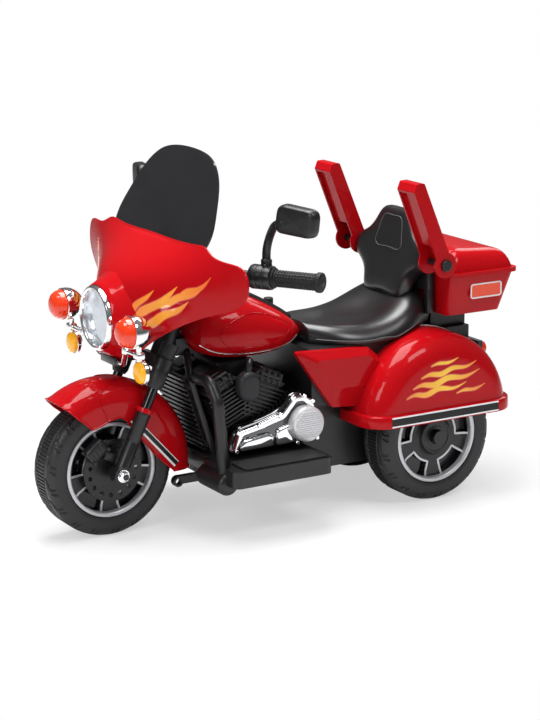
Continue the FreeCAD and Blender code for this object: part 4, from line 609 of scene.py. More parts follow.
def rim_face(sign, cx, cy, pieces):
    """One dished face of a wheel: hub, recessed pockets with silver lines round them, and a silver ring."""
    radii = np.concatenate([[6.5, 9, 9.5, 14, 14.6, 20, 20.6, 24, 28, 29, 32, 33.6, 34.4, 36, 37.5],
                            np.arange(39, 80.5, 1.0), [81, 81.8, 82.6, 83.4, 84, 86, 88, 88.6, 89.4, 89.8]])
    rr, aa = np.meshgrid(radii, np.arange(360) * FULL_TURN / 360)
    pitch = FULL_TURN / SPOKES
    gap = pocket_gap(rr, aa - QUARTER - np.round((aa - QUARTER) / pitch) * pitch)
    height = interp(rr, FACE) - POCKET_DEEP * smooth((0.6 - gap) / 2.2)
    rows = np.stack([cx + sign * height, cy + rr * np.cos(aa), TYRE_R + rr * np.sin(aa)], 2)
    verts, faces = grid(list(rows), closed_ends=True)
    deep = (gap < -0.4).ravel()
    pieces.add((verts, [f for f in faces if deep[f[0]]]), GLOSS)
    pieces.add((verts, [f for f in faces if not deep[f[0]]]), BLACK)
    ring = [(24, 79.8), (33.4, 80.2), (35.0, 81.6), (35.7, 83.0), (35.7, 87.4), (34.9, 88.4), (30, 88.4)]
    pieces.add(lathe([(sign * x, r) for x, r in ring], (cx, cy, TYRE_R), ACROSS, 120, caps=False), SILVER)
    side = [(POCKET_OUT + 2.5, POCKET_HALF), (70, POCKET_HALF), (60, POCKET_HALF)]
    inner_arc = [(POCKET_IN, POCKET_HALF * t) for t in np.linspace(1, -1, 13)]
    line = side + inner_arc + [(r, -t) for r, t in side[::-1]]
    line = np.array([(r * math.cos(t), r * math.sin(t)) for r, t in line])
    for k in range(SPOKES):
        turn = QUARTER + k * pitch
        rows = []
        for i, (u, v) in enumerate(line):
            t = line[min(i + 1, len(line) - 1)] - line[max(i - 1, 0)]
            n = np.array([t[1], -t[0]]) / np.hypot(*t)
            row = []
            for off, lift in ((-2.1, -1.0), (-1.9, 0.6), (1.9, 0.6), (2.1, -1.0)):
                a, b = u + n[0] * off, v + n[1] * off
                base = float(interp(math.hypot(a, b), LINE_BASE))
                row.append((cx + sign * (base + lift), cy + a * math.cos(turn) - b * math.sin(turn),
                            TYRE_R + a * math.sin(turn) + b * math.cos(turn)))
            rows.append(row)
        pieces.add(solid(rows), SILVER)


def wheel(name, body, cx, cy, node, sleeve=None):
    """Rim with both faces; sleeve is the length of the drive sleeve, if it has one."""
    pieces = Shape()
    for sign in (1, -1):
        rim_face(sign, cx, cy, pieces)
    barrel = [(-33.6, 89.8), (-33.0, 90.1), (33.0, 90.1), (33.6, 89.8)]
    pieces.add(lathe(barrel, (cx, cy, TYRE_R), ACROSS, 120, caps=False), BLACK)
    if sleeve:
        drive = [(0, 8), (0, 10.9), (sleeve, 10.9), (sleeve, 8)]
        pieces.add(lathe(drive, (cx + HUB_TOP, cy, TYRE_R), ACROSS, 40), STEEL)
    pieces.make(name, body, (node,), 40)


tyre("tyre_front", "front_wheel", 0, AXLE_F, "front_tyre")
tyre("tyre_rear_left", "rear_wheel_left", WHEEL_X, AXLE_R, "rear_tyre_left")
tyre("tyre_rear_right", "rear_wheel_right", -WHEEL_X, AXLE_R, "rear_tyre_right")
wheel("rim_front", "front_wheel", 0, AXLE_F, "front_rim")
wheel("rim_rear_left", "rear_wheel_left", WHEEL_X, AXLE_R, "rear_rim_left")
wheel("rim_rear_right", "rear_wheel_right", -WHEEL_X, AXLE_R, "rear_rim_right", 35.0)


# Front fork, axle and brake caliper

LEG = lean(LEG_X, FORK_Y, 0)
fork = Shape()
fork.add_both(lathe([(-16, 6), (-16, 11), (-13.5, 13), (60, 13), (61, 12.4), (63, 12.4), (64, 13), (112, 13),
                     (113, 13.6), (117.5, 13.6), (118, 13), (118, 9)], LEG, LEAN_UP, 48), BLACK)
fork.add_both(lathe([(-13.5, 9), (-13.5, 15), (-12, 16), (12, 16), (13.5, 15), (13.5, 9)],
                    (LEG_X, AXLE_F, TYRE_R), ACROSS, 48), BLACK)
fork.make("fork_sliders", "steering", ("fork_legs",))
tubes = Shape()
tubes.add_both(lathe([(100, 9), (166, 9)], LEG, LEAN_UP, 48), GLOSS)
tubes.add_both(lathe([(165, 9), (165, 12), (173, 15.5), (206, 15.5), (207, 14.9), (209, 14.9), (210, 15.5),
                      (249, 15.5), (250, 14.5), (250, 6)], LEG, LEAN_UP, 48), GREY)
tubes.make("fork_upper", "steering", ("fork_tubes",))

axle = Shape().add(lathe([(-92, 3), (-92, 6), (92, 6), (92, 3)], FRONT_AXLE, ACROSS, 32), STEEL)
for profile, count, mat in (
        ([(81.2, 7), (81.2, 11.5), (82.8, 11.5), (82.8, 7)], 40, CHROME),
        ([(82.8, 4), (82.8, 9.6), (88.5, 9.6), (90, 8.2), (90, 4)], 6, CHROME),
        ([(89, 5.6), (92.4, 5.6), (92.8, 5.0), (92.8, 0)], 24, GLOSS)):
    axle.add_both(lathe(profile, FRONT_AXLE, ACROSS, count), mat)
for start, end in ((40.5, 54.8), (-54.8, -33.5)):
    axle.add(lathe([(start, 7), (start, 10.8), (end, 10.8), (end, 7)], FRONT_AXLE, ACROSS, 32), BLACK)
axle.make("front_axle_nuts", "steering", ("front_axle",), 28)

CALIPER_TURN = math.radians(65)
turn_caliper = leaned(-CALIPER_TURN, FORK_Y, 0)


def on_disc(x, y, z):
    """Point of the caliper, drawn above the axle and turned forward round it."""
    return lean(*turn_caliper(x, y, z))


caliper = Shape()
for lo, hi, r in (((31, -20, 41), (36.4, 20, 69), 2.5), ((40.8, -21, 41), (54, 21, 69.5), 4),
                  ((33, -17, 64), (52, 17, 70.5), 3), ((53, -16, 47), (57.5, 16, 66), 2)):
    caliper.add(moved(block(lo, hi, r), on_disc), BLACK)
for k in range(4):
    y = -14 + k * 7.6
    caliper.add(moved(block((56.6, y, 49), (58.4, y + 3.6, 64), 0.7, 2), on_disc), GREY)
for y in (-17.5, 17.5):
    bolt = lathe([(52, 3.4), (57, 3.4), (58, 2.6), (58, 0)], (0, y, 45), ACROSS, 20)
    caliper.add(moved(bolt, on_disc), GREY)
caliper.add(moved(block((48.5, FORK_Y - 36, 15), (57.5, FORK_Y - 12, 31), 2.5), lean), BLACK)
caliper.make("caliper", "steering", ("brake_caliper",))


# Front fender

FENDER_HALF, FENDER_R, SKIRT_R, FENDER_WALL = 52.0, 165.0, 128.0, 3.0
FENDER_REAR_DROP, LOW_FRONT, LOW_REAR = 16.0, 94.8, 119.0
FRONT_FLARE, FRONT_LIP, REAR_FLARE, REAR_LIP = 2.2, 0.035, 1.2, 0.03
# Lower edge, as (back, up) from the axle, and the angle of the front edge by radius
FENDER_LOW = np.array([(-44, 84), (-30, 88), (-12, 97), (8, 101), (20, 94), (28, 80), (118, -16)], float)
FENDER_FRONT = [(84, 115.5), (94.8, 117.6), (128, 123.3), (165, 126.8)]


def ray_to_line(angle, line):
    """Distance along a ray from the axle to a broken line."""
    d = np.array([math.cos(angle), math.sin(angle)])
    found = []
    for a, b in zip(line[:-1], line[1:]):
        run = b - a
        det = run[0] * d[1] - run[1] * d[0]
        if abs(det) < 1e-9:
            continue
        k = (d[0] * a[1] - d[1] * a[0]) / det
        dist = (a + k * run).dot(d)
        if -1e-6 <= k <= 1 + 1e-6 and dist > 0:
            found.append(dist)
    return min(found, default=None)


def fender_point(x, r, u, half):
    """Point of the fender at a radius and a share u of the way from its rear edge forward, and its angle."""
    front = math.radians(interp(r, FENDER_FRONT))
    rear = -math.asin(FENDER_REAR_DROP / r)
    a = rear + (front - rear) * u
    flare = FRONT_FLARE * smooth(1 - (1 - u) / FRONT_LIP) + REAR_FLARE * smooth(1 - u / REAR_LIP)
    rr = r + flare * (0.4 if abs(x) > half - 1 else 1.0)
    return (x, AXLE_F + rr * math.cos(a), TYRE_R + rr * math.sin(a)), a


def fender_rows(inset, columns=110):
    """Rows over the fender from rear to front: left skirt, arch and right skirt."""
    half, crown = FENDER_HALF - inset, FENDER_R - inset
    arch = spline([(half, SKIRT_R), (half * 0.86, crown - 16), (half * 0.5, crown - 4), (0, crown),
                   (-half * 0.5, crown - 4), (-half * 0.86, crown - 16), (-half, SKIRT_R)], 36, uniform=True)
    rows = []
    for i in range(columns + 1):
        u = i / columns
        angle = fender_point(half, 110, u, half)[1]
        low = min(ray_to_line(angle, FENDER_LOW) or (LOW_FRONT if u > 0.5 else LOW_REAR), SKIRT_R - 2)
        skirt = [low + (SKIRT_R - low) * k / 7 for k in range(7)]
        line = [(half, r) for r in skirt] + list(arch) + [(-half, r) for r in skirt[::-1]]
        rows.append([fender_point(x, r, u, half)[0] for x, r in line])
    return rows


def on_fender(u, v):
    """Point of the fender's outer face: u from rear edge to front, v from left edge over the top."""
    i, j = u * (len(outer) - 1), v * (len(outer[0]) - 1)
    i0, j0 = min(int(i), len(outer) - 2), min(int(j), len(outer[0]) - 2)
    a, b, c, d = [Vector(outer[i0 + m][j0 + n]) for m in (0, 1) for n in (0, 1)]
    return a.lerp(b, j - j0).lerp(c.lerp(d, j - j0), i - i0)


outer = fender_rows(0.0)
fender = Shape().add(shell(outer, fender_rows(FENDER_WALL)), RED)
fender.add_both(tube([r[0] for r in outer], 1.7, 10), RED)
fender.add(tube(outer[-1], 1.9, 10), RED)
fender.add(tube(outer[0], 1.6, 10), RED)
fender.add_both(lathe([(118.3, 9.2), (118.3, 14.6), (119.3, 15.5), (126, 15.5), (127, 14.6), (127, 9.2)],
                      LEG, LEAN_UP, 48), RED)
fender.add_both(moved(block((50.5, FORK_Y - 10, 118.5), (60, FORK_Y + 10, 126.8), 2.5), lean), RED)
crease = spline([(0.845, 0.01), (0.84, 0.12), (0.825, 0.22), (0.79, 0.285), (0.70, 0.30), (0.58, 0.295),
                 (0.47, 0.285)], 60)
fender.add_both(tube([on_fender(u, v) for u, v in crease], 1.3, 8), RED)
oval = [(0.70 + 0.055 * math.cos(t), 0.5 + 0.085 * math.sin(t)) for t in np.linspace(0, FULL_TURN, 41)]
fender.add(tube([on_fender(u, v) for u, v in oval], 1.7, 8, False), RED)
fender.make("fender_front", "steering", ("front_fender",))

stripes = Shape()
chord_a, chord_b = np.array([30.0, 88.0]), np.array([118.0, -9.0])
run = (chord_b - chord_a) / np.linalg.norm(chord_b - chord_a)
across = np.array([-run[1], run[0]])
skirt = on_side(FENDER_HALF, AXLE_F, TYRE_R)
FILM_LIFT = 0.35
for start, width, mat in ((1.2, 3.7, WHITE), (4.9, 7.5, INK), (12.4, 1.4, WHITE)):
    p, q = chord_a + across * start, chord_b + across * start
    stripes.add_both(film([p, q, q + across * width, p + across * width], skirt, FILM_LIFT, 8.0), mat)
stripes.make("fender_front_stripes", "steering", slot="red_plastic")


# Fairing and windshield

WING_X, WING_SWEEP, FAIR_Y, FAIR_TOP, FAIR_WALL = 296.0, 28.0, -245.0, 542.0, 4.0
HEAD_Z, HEAD_BULGE, FAIR_HOLE_R = 399.0, 104.0, 55.2
BULGE_RISE, BULGE_WIDE, BULGE_WIDE_Z, BULGE_SPREAD = 78.0, 132.0, 370.0, 45 / 130
CHIN_DROP, CHIN_PULL = 59.0, 0.16
SCREEN_GAP, SCREEN_LEAN, SCREEN_WALL = 7.3, 0.47, 3.5


def fair_y(x, z):
    """Place of the fairing fore and aft: swept wings and a bulge round the headlight."""
    slope = max(0.0, (FAIR_TOP - z) / BULGE_RISE)
    below = max(0.0, HEAD_Z - z) / CHIN_DROP
    bulge = slope / (1 + slope ** 4) ** 0.25 - CHIN_PULL * below ** 2
    width = BULGE_WIDE + BULGE_SPREAD * (z - BULGE_WIDE_Z)
    return FAIR_Y + WING_SWEEP * (x / WING_X) ** 2 - HEAD_BULGE * bulge * math.exp(-(x / width) ** 2)


def fair_point(x, z):
    """Point of the fairing and its outward direction."""
    dx = (fair_y(x + 1, z) - fair_y(x - 1, z)) / 2
    dz = (fair_y(x, z + 1) - fair_y(x, z - 1)) / 2
    return (x, fair_y(x, z), z), Vector((dx, -1, dz)).normalized()


wing = [(46, 333), (86, 360), (140, 398), (208, 430), (268, 452), (293, 474), (296, 499), (287, 517),
        (262, 524), (226, 526), (200, 532), (178, 541), (150, 542)]
fair_line = spline(symmetric(wing, 328, FAIR_TOP), 220, closed=True)
hole = [(FAIR_HOLE_R * math.cos(a), HEAD_Z + FAIR_HOLE_R * math.sin(a))
        for a in np.arange(72) * FULL_TURN / 72]
fair = Shape().add(skin(fair_line, 6.0, fair_y, FAIR_WALL, [hole]), RED)
fair.add(bead([(x * 0.9985, fair_y(x, z) + FAIR_WALL / 2, z) for x, z in fair_line], 2.1, 10), RED)
collar = [(-340, 57.2), (-354, 58.2), (-355.4, 59.6), (-354, 61.6), (-346, 65.5), (-336, 71), (-326, 78),
          (-318, 82), (-318, 57.2)]
fair.add(lathe(collar + collar[:1], (0, 0, HEAD_Z), ALONG, 96, caps=False), RED)
fair.make("fairing_skin", "steering", ("fairing",), 40)


def tongue(spine, widths, count=40):
    """Closed outline of a flame lick along a curved spine, with its width along the way."""
    line = spline(spine, count)
    w = np.interp(np.linspace(0, 1, len(line)), np.linspace(0, 1, len(widths)), widths)
    ahead = np.gradient(line, axis=0)
    ahead /= np.linalg.norm(ahead, axis=1)[:, None] + 1e-9
    side = np.stack([-ahead[:, 1], ahead[:, 0]], 1) * w[:, None] / 2
    return np.concatenate([line + side, (line - side)[::-1]])


def flames(name, body, licks, surface, fill_mat):
    """Generic layered licks on both sides: a darker border under a graded fill."""
    lift, edge, step = 0.3, 3.2, 4.0
    under, over = Shape(), Shape()
    for i, (spine, widths) in enumerate(licks):
        wide = [w + edge for w in widths[:-1]] + [edge * 0.35]
        under.add_both(film(tongue(spine, wide), surface, lift + 0.03 * i, step), FLAME_EDGE)
        over.add_both(film(tongue(spine, widths), surface, lift + 0.30 + 0.03 * i, step), fill_mat)
    under.make(name + "_border", body, slot="red_plastic")
    over.make(name + "_fill", body, slot="red_plastic")


flames("fairing_flames", "steering", [
    ([(74, 405), (92, 424), (112, 436), (132, 452), (150, 474)], [5, 15, 13, 9, 1]),
    ([(80, 392), (104, 402), (126, 420), (148, 430), (172, 450)], [5, 14, 13, 9, 1]),
    ([(112, 432), (134, 442), (156, 456), (176, 462), (204, 484)], [3, 11, 12, 8, 1]),
    ([(150, 452), (170, 468), (190, 474), (214, 498)], [3, 9, 7, 1]),
    ([(72, 412), (78, 432), (94, 446), (108, 462)], [4, 10, 8, 1]),
], fair_point, FLAME_NOSE)


def shield_y(x, z):
    """Place of the windshield fore and aft: behind the fairing's top edge, leaning back."""
    return fair_y(x, FAIR_TOP) + SCREEN_GAP + SCREEN_LEAN * (z - FAIR_TOP)


glass = [(120, 522), (160, 526), (171, 546), (160, 596), (136, 642), (94, 677), (44, 689)]
glass_line = spline(symmetric(glass, 522, 691), 160, closed=True)
screen = Shape().add(skin(glass_line, 8.0, shield_y, SCREEN_WALL), SCREEN)
screen.make("screen", "steering", ("windshield",), 40)


# Lamps

HEAD_FRONT, STUDS, STUD_R, FACETS = -364.0, 10, 40, 40
HEAD = (0, HEAD_FRONT, HEAD_Z)


def facet(angle, along, radius):
    """Alternate raised and sunk ribs of the headlight's bowl."""
    return 0.8 * (-1 if int(angle / FULL_TURN * FACETS + 0.5) % 2 else 1) * (radius > 10)


bezel = Shape()
ring = [(13, 49.5), (6, 49.8), (2, 51), (0.2, 53), (0.2, 55), (2, 57.4), (6, 58.8), (12, 59), (15.5, 58.4),
        (17, 55.4), (63, 55), (64, 53)]
bezel.add(lathe(ring, HEAD, ALONG, 96, caps=False), CHROME)
bowl = [(13, 49.6), (22, 46), (32, 38), (40, 28), (46, 16), (48, 8)]
# Faceted bowl in the reflector material with its painted bluish glow
bezel.add(lathe(bowl, HEAD, ALONG, FACETS, facet), REFLECTOR_PAINTED_GLOW)
bezel.add(lathe([(22, 0), (22, 5), (25, 9), (36, 9.5), (48, 11), (48, 0)], HEAD, ALONG, 32), CHROME)
for k in range(STUDS):
    a = FULL_TURN * k / STUDS
    spot = (STUD_R * math.cos(a), HEAD_FRONT, HEAD_Z + STUD_R * math.sin(a))
    bezel.add(lathe([(16, 0), (16, 2.2), (18, 3.2), (30, 3.2)], spot, ALONG, 16), CHROME)
bezel.make("headlight_ring", "steering", ("headlight_bezel",), 25)
dome = [(13, 20), (13, 49.3), (8, 49.3), (4, 44), (0, 32), (-3, 18), (-4, 6), (-4.2, 0)]
Shape().add(lathe(dome, HEAD, ALONG, 96), LENS).make("headlight_glass", "steering", ("headlight_lens",), 40)

SPOT_X, SPOT_FRONT, SIG_Z, SIG_FRONT = 133.0, -378.0, 325.0, -344.0
bar_y, bar_z, dip_z = SPOT_FRONT + 36, 355, 320
lamps = Shape()
half = [(46, bar_y + 14, dip_z), (84, bar_y, bar_z), (SPOT_X, bar_y, bar_z)]
path = bent([(-x, y, z) for x, y, z in reversed(half)] + half, 14)
lamps.add(tube(path, 5.0, 20), CHROME)
bucket = [(14, 27.4), (1, 27.4), (0, 28.6), (0.6, 29.8), (3, 30), (12, 29.8), (19, 28.2), (27, 24), (34, 18),
          (40, 10), (43, 5), (44, 0)]
lamps.add_both(lathe(bucket, (SPOT_X, SPOT_FRONT + 17, HEAD_Z), ALONG, 64), CHROME)
cup = [(6, 19.4), (0.4, 19.6), (0, 20.8), (0.8, 21.8), (6, 22), (9, 20), (13, 15), (16, 10), (16, 0)]
lamps.add_both(lathe(cup, (SPOT_X, SIG_FRONT + 4, SIG_Z), ALONG, 56), CHROME)
lamps.add_both(tube([(SPOT_X, bar_y, bar_z - 9.5), (SPOT_X, bar_y, bar_z + 29)], 5.0, 20, False), CHROME)
lamps.add_both(block((SPOT_X - 9, bar_y - 8, bar_z - 6), (SPOT_X + 9, bar_y + 8, bar_z + 7), 3), CHROME)
lamps.add_both(block((78, bar_y - 6.5, bar_z - 6.5), (92, bar_y + 7, bar_z + 6.5), 2.5), CHROME)
lamps.add(block((-16, bar_y + 13, dip_z - 4), (16, -267, dip_z + 4), 2), BLACK)
lamps.add(block((-30, bar_y + 6, dip_z - 7.5), (30, bar_y + 10.5, dip_z + 9), 2), GLOSS)
lamps.make("lamp_bar", "steering", ("light_bar",), 30)
# Red spot lamp lenses, glowing by the painted emission of their material
red_dome = [(15.5, 0), (15.5, 27.2), (2.5, 27.2), (1, 26.6), (-5, 25.4), (-5.6, 24.4), (-11, 21.6),
            (-11.6, 20.4), (-15.4, 15.4), (-16, 14.2), (-17.2, 9), (-17.4, 0)]
red = Shape().add_both(lathe(red_dome, (SPOT_X, SPOT_FRONT + 12, HEAD_Z), ALONG, 24), RED_LENS_PAINTED_GLOW)
red.make("lamp_lenses", "steering", ("spot_lamp_lenses",), 18)
# Amber signal lenses, glowing by the painted emission of their material
amber_dome = [(9.6, 0), (9.6, 19.2), (1, 19.2), (-1.6, 17.6), (-3.2, 14), (-4.2, 9), (-4.6, 0)]
amber = Shape().add_both(lathe(amber_dome, (SPOT_X, SIG_FRONT, SIG_Z), ALONG, 96), AMBER_PAINTED_GLOW)
amber.make("amber_lenses", "steering", ("signal_lenses",), 40)


# Handlebar ends and mirrors

INWARD = -BAR_RUN
SQUARE = Vector((-BAR_RUN.y, BAR_RUN.x, 0))
grips = Shape()
profile = [(-3, 6), (-3, 12), (-2.4, 15.5), (-1, 17.4), (1, 18), (6, 18), (8, 17), (9, 15)]
for k in range(14):
    y = 11 + k * 5.5
    profile += [(y, 14.9), (y + 0.6, 14.2), (y + 1.4, 14.2), (y + 2.0, 14.9)]
profile += [(87, 15), (87.6, 17), (88.5, 18), (91.4, 18), (92, 17.2), (92, 9)]
grips.add_both(lathe(profile, BAR_END, INWARD, 72,
                     lambda a, y, r: 0.35 * math.sin(a * 18) if 9 < y < 87 else 0.0), GRIP)
grips.add_both(lathe([(-4.2, 0), (-4.2, 5), (-3.4, 6.4), (-2.4, 6.6)], BAR_END, INWARD, 32), BLACK)
grips.make("grip_sleeves", "steering", ("grips",))

MIRROR_X, MIRROR_Z = 187.0, 506.3
MIRROR_FOOT = Vector((MIRROR_X, BAR_Y + (MIRROR_X - BAR_BEND_X) * math.tan(SWEEP), MIRROR_Z))
MIRROR_HEAD, MIRROR_TURN = Vector((286, -117, 595)), math.radians(20)
blocks = Shape()
barrel = [(92.3, 9.1), (92.3, 19), (94, 21.2), (98, 22), (104, 22), (105, 20.8), (107.5, 20.8), (108.5, 22),
          (118, 22), (119, 20.8), (121, 20.8), (122, 22), (131, 22), (134.5, 20.6), (136, 18.4), (136, 9.1)]
blocks.add_both(lathe(barrel, BAR_END, INWARD, 64), BLACK)
blocks.add_both(lathe([(0, 10), (17, 10), (24, 10), (25.6, 9.2), (26, 8), (26, 0)],
                      (MIRROR_FOOT.x, MIRROR_FOOT.y, BAR_Z), UP, 40), BLACK)
for dz in (-9, 9):
    spot = BAR_END + INWARD * 113.5 + SQUARE * 20.5 + Vector((0, 0, dz))
    blocks.add_both(lathe([(0, 4.4), (2.6, 4.4), (3.2, 3.6), (3.2, 0)], spot, SQUARE, 24), GREY)
blocks.make("control_barrels", "steering", ("switch_blocks",))


def on_mirror(a, d, b):
    """Point of the left mirror's head: a across its face, d through it, b up."""
    c, s = math.cos(MIRROR_TURN), math.sin(MIRROR_TURN)
    return (MIRROR_HEAD.x + a * c - d * s, MIRROR_HEAD.y + a * s + d * c, MIRROR_HEAD.z + b)


def mirror_rings(levels):
    """Rings of the head at (depth, share of its size, corner radius)."""
    corners = np.array([(-46, -24), (40, -28), (46, 22), (-38, 28)])
    return solid([[on_mirror(a, d, b) for a, b in rounded(corners * share, radius, 8)]
                  for d, share, radius in levels])


def mirror(name, body, sign):
    """Mirror on its stem; sign -1 gives the right one."""
    steps = [(0, 0, 3), (0, 0, 18), (9, -1.5, 40), (30, -7, 62), (54, -13, 77)]
    line = spline([MIRROR_FOOT + Vector(s) for s in steps] + [MIRROR_HEAD + Vector((-21, -12, -4))], 30)
    radii = [9.2] + [7.6 - 0.5 * i / 30 for i in range(len(line) - 1)]
    pod = [(9.2, 0.89, 15), (11, 0.9, 15), (11, 0.97, 16), (10, 0.995, 17), (7, 1.0, 17), (0, 0.99, 17),
           (-4.5, 0.965, 17), (-7, 0.92, 16), (-8.6, 0.86, 14), (-9.4, 0.7, 9), (-10.3, 0.42, 4),
           (-11, 0.06, 0.6)]
    piece = Shape()
    for part, mat in ((tube(line, radii, 24), BLACK),
                      (lathe([(0, 10), (4.5, 10), (6, 9), (6, 0)], MIRROR_FOOT, UP, 40), BLACK),
                      (mirror_rings(pod), BLACK), (mirror_rings([(9.0, 0.89, 15), (9.6, 0.86, 15)]), MIRROR)):
        piece.add(moved(part, lambda x, y, z: (sign * x, y, z)), mat, sign < 0)
    piece.make(name, body, (body,), 28, "black_plastic")


mirror("mirror_pod_left", "mirror_left", 1)
mirror("mirror_pod_right", "mirror_right", -1)


# Tank

TANK_FRONT, TANK_LONG, TANK_HALF, TANK_LOW, TANK_HIGH = -186, 236, 82, 303, 117
DECK_FRONT, DECK_Z = 26, 313.3
# Shares of the length, half width, and height of the bottom and top
TANK = [(0.0, 0.52, 0.30, 0.60), (0.07, 0.80, 0.14, 0.80), (0.26, 0.97, 0.03, 0.97), (0.45, 1.0, 0.0, 0.99),
        (0.62, 0.95, 0.0, 0.86), (0.80, 0.82, 0.04, 0.66), (0.92, 0.60, 0.12, 0.50), (1.0, 0.36, 0.16, 0.36)]


def tank_slice(y, half, bottom, top):
    """Ring of the tank, widest below its middle."""
    mid = bottom + (top - bottom) * 0.38
    right = [(half * 0.62, bottom + 1), (half * 0.95, bottom + (mid - bottom) * 0.55), (half, mid),
             (half * 0.9, mid + (top - mid) * 0.5), (half * 0.55, top - (top - mid) * 0.13)]
    return ring_points([(x, y, z) for x, z in symmetric(right, bottom, top)], 96)


def flank_x(ring, z):
    """How far out a ring stands on the left at a height."""
    left = ring[ring[:, 0] > 0]
    left = left[np.argsort(left[:, 2])]
    return float(np.interp(z, left[:, 2], left[:, 0]))


def tank_side(y, z):
    """Point just outside the tank's left flank."""
    ring = min(tank_rows, key=lambda r: abs(r[0][1] - y))
    x = flank_x(ring, z)
    return Vector((x, y, z)) + Vector((1, 0, -(flank_x(ring, z + 3) - x) / 3)).normalized() * 0.1


tank_rows = loft([tank_slice(TANK_FRONT + a * TANK_LONG, TANK_HALF * w, TANK_LOW + low * TANK_HIGH,
                             TANK_LOW + high * TANK_HIGH) for a, w, low, high in TANK])
for ring in tank_rows:
    if ring[0][1] > DECK_FRONT:
        ring[:, 2] = np.maximum(ring[:, 2], DECK_Z)
tank = Shape().add(with_ends(tank_rows, ((0.80, -2.2), (0.93, -1.2), (0.985, -0.4)),
                             ((0.985, 0.2), (0.93, 0.5), (0.80, 0.8))), RED)
tank.make("tank_shell", "chassis", ("fuel_tank",), 40)
drop = spline([(-146, 352), (-120, 378), (-76, 388), (-30, 376), (8, 350), (-16, 333), (-76, 325),
               (-128, 332)], 90, closed=True)
emboss = Shape().add_both(bead([tank_side(y, z) for y, z in drop], 1.1), RED)
emboss.make("tank_bead", "chassis")
seam = []
for ring in tank_rows[8:-12]:
    height = ring[ring[:, 0] > 0][:, 2].min() + 13
    seam.append((flank_x(ring, height) + 0.4, ring[0][1], height - 0.4))
trim = Shape().add_both(tube(spline(seam[::9] + [seam[-1]], 70), 1.5, 10), CHROME)
trim.make("tank_trim", "chassis")


# Saddle and backrest

FEN_Y, FEN_Z, FEN_R, FEN_X, ROUND, INNER_X = 275.0, 165.0, 161.0, 188.0, 46.0, 84.3
SEAT_HALF = 121
# Place along the bike, share of the half width, bottom, top and dish of the saddle's slices
SEAT = [(51, 0.50, 301, 350, 0), (82, 0.76, 301, 347, 2), (120, 0.92, 301, 343, 5), (160, 0.98, 301, 343, 6),
        (205, 1.0, 303, 352, 6), (245, 0.95, 307, 372, 4), (280, 0.80, 310, 392, 0), (308, 0.66, 315, 386, 0)]


def seat_slice(y, share, bottom, top, dish):
    """Ring of the saddle, with its top dished in the middle."""
    half, rise = SEAT_HALF * share, top - bottom
    right = [(half * 0.80, bottom), (half, bottom + rise * 0.30), (half * 0.90, bottom + rise * 0.8),
             (half * 0.55, top + dish * 0.2)]
    return ring_points([(x, y, z) for x, z in symmetric(right, bottom, top - dish)], 120)


seat_rows = loft([seat_slice(*values) for values in SEAT])
for row in seat_rows:
    row[:, 2] = np.maximum(row[:, 2], DECK_Z + 0.1)
    over = FEN_Z + 0.4 + np.sqrt(np.maximum(0.0, FEN_R ** 2 - (row[:, 1] - FEN_Y) ** 2))
    row[:, 2] = np.where(np.abs(row[:, 0]) > INNER_X - 0.7, np.maximum(row[:, 2], over), row[:, 2])
saddle = Shape().add(with_ends(seat_rows, ((0.75, -1.6), (0.92, -1.0), (0.985, -0.4)),
                               ((0.985, 1.5), (0.92, 3.4), (0.75, 4.6))), VINYL)
saddle_piece = saddle.make("saddle", "chassis", ("seat",), 60)
line = []
for row in seat_rows[4:-2]:
    right = row[row[:, 0] > 0]
    lo, hi = right[:, 2].min(), right[:, 2].max()
    level = right[np.argsort(np.abs(right[:, 2] - lo - (hi - lo) * 0.42))[:6]]
    line.append(level[np.argmax(level[:, 0])] + np.array([0.3, 0, 0]))
welt = Shape().add_both(tube(spline(line[::6] + [line[-1]], 80), 1.5, 10), PIPING)
welt.make("saddle_piping", "chassis")

REST_Y, REST_Z, REST_HALF, REST_FACE, REST_LEAN = 282, 456, 112.0, -17.0, math.radians(12)
rest_right = [(62, 374), (72, 405), (92, 426), (112, 442), (112, 470), (86, 488), (60, 515), (46, 535)]
rest_line = ring_points(symmetric(rest_right, 372, 541), 140)
lean_rest = leaned(REST_LEAN, REST_Y, REST_Z)
rest_rows = []
for depth, share in ((-17.2, 0.60), (REST_FACE, 0.80), (-16, 0.88), (-13.5, 0.945), (-9, 0.985), (-3, 1.0),
                     (3, 1.0), (9, 0.985), (13.5, 0.945), (16, 0.88), (17, 0.8)):
    rest_rows.append([lean_rest(max(-REST_HALF, min(REST_HALF, x * share)), depth, (z - REST_Z) * share)
                      for x, z in rest_line])
rest = Shape().add(solid(rest_rows), VINYL)
seam_right = [(10, 524), (27, 522), (33, 513), (41, 482), (43, 470), (38, 464), (18, 462)]
panel_line = spline(seam_right + [(-x, z) for x, z in reversed(seam_right)], 90, closed=True)
rest.add(bead([lean_rest(x, REST_FACE, z - REST_Z) for x, z in panel_line], 0.9), PIPING)
rest.add(block((-100, 292.2, 393), (100, 306.8, 435.8), 3.0), BLACK)
rest.add_both(block((86, 292.2, 348.4), (100, 306.8, 398), 2.5), BLACK)
rest_piece = rest.make("back_pad", "chassis", ("backrest",), 60)


# Rear fenders

FLAT_X, FEN_FRONT, FEN_WALL, BAND_OUT = FEN_X - ROUND, FEN_Y - FEN_R, 4.0, 8.0
TAIL_Y, TAIL_R = 402.0, FEN_R - FEN_WALL
section = [(INNER_X + k * (FLAT_X - INNER_X) / 6, FEN_R) for k in range(7)]
for k in range(1, 15):
    a = QUARTER * k / 14
    section.append((FLAT_X + ROUND * math.sin(a), FEN_R - ROUND + ROUND * math.cos(a)))
section += [(FEN_X, r) for r in (112, 108, 95, 75, 50, 25, 0.5)]


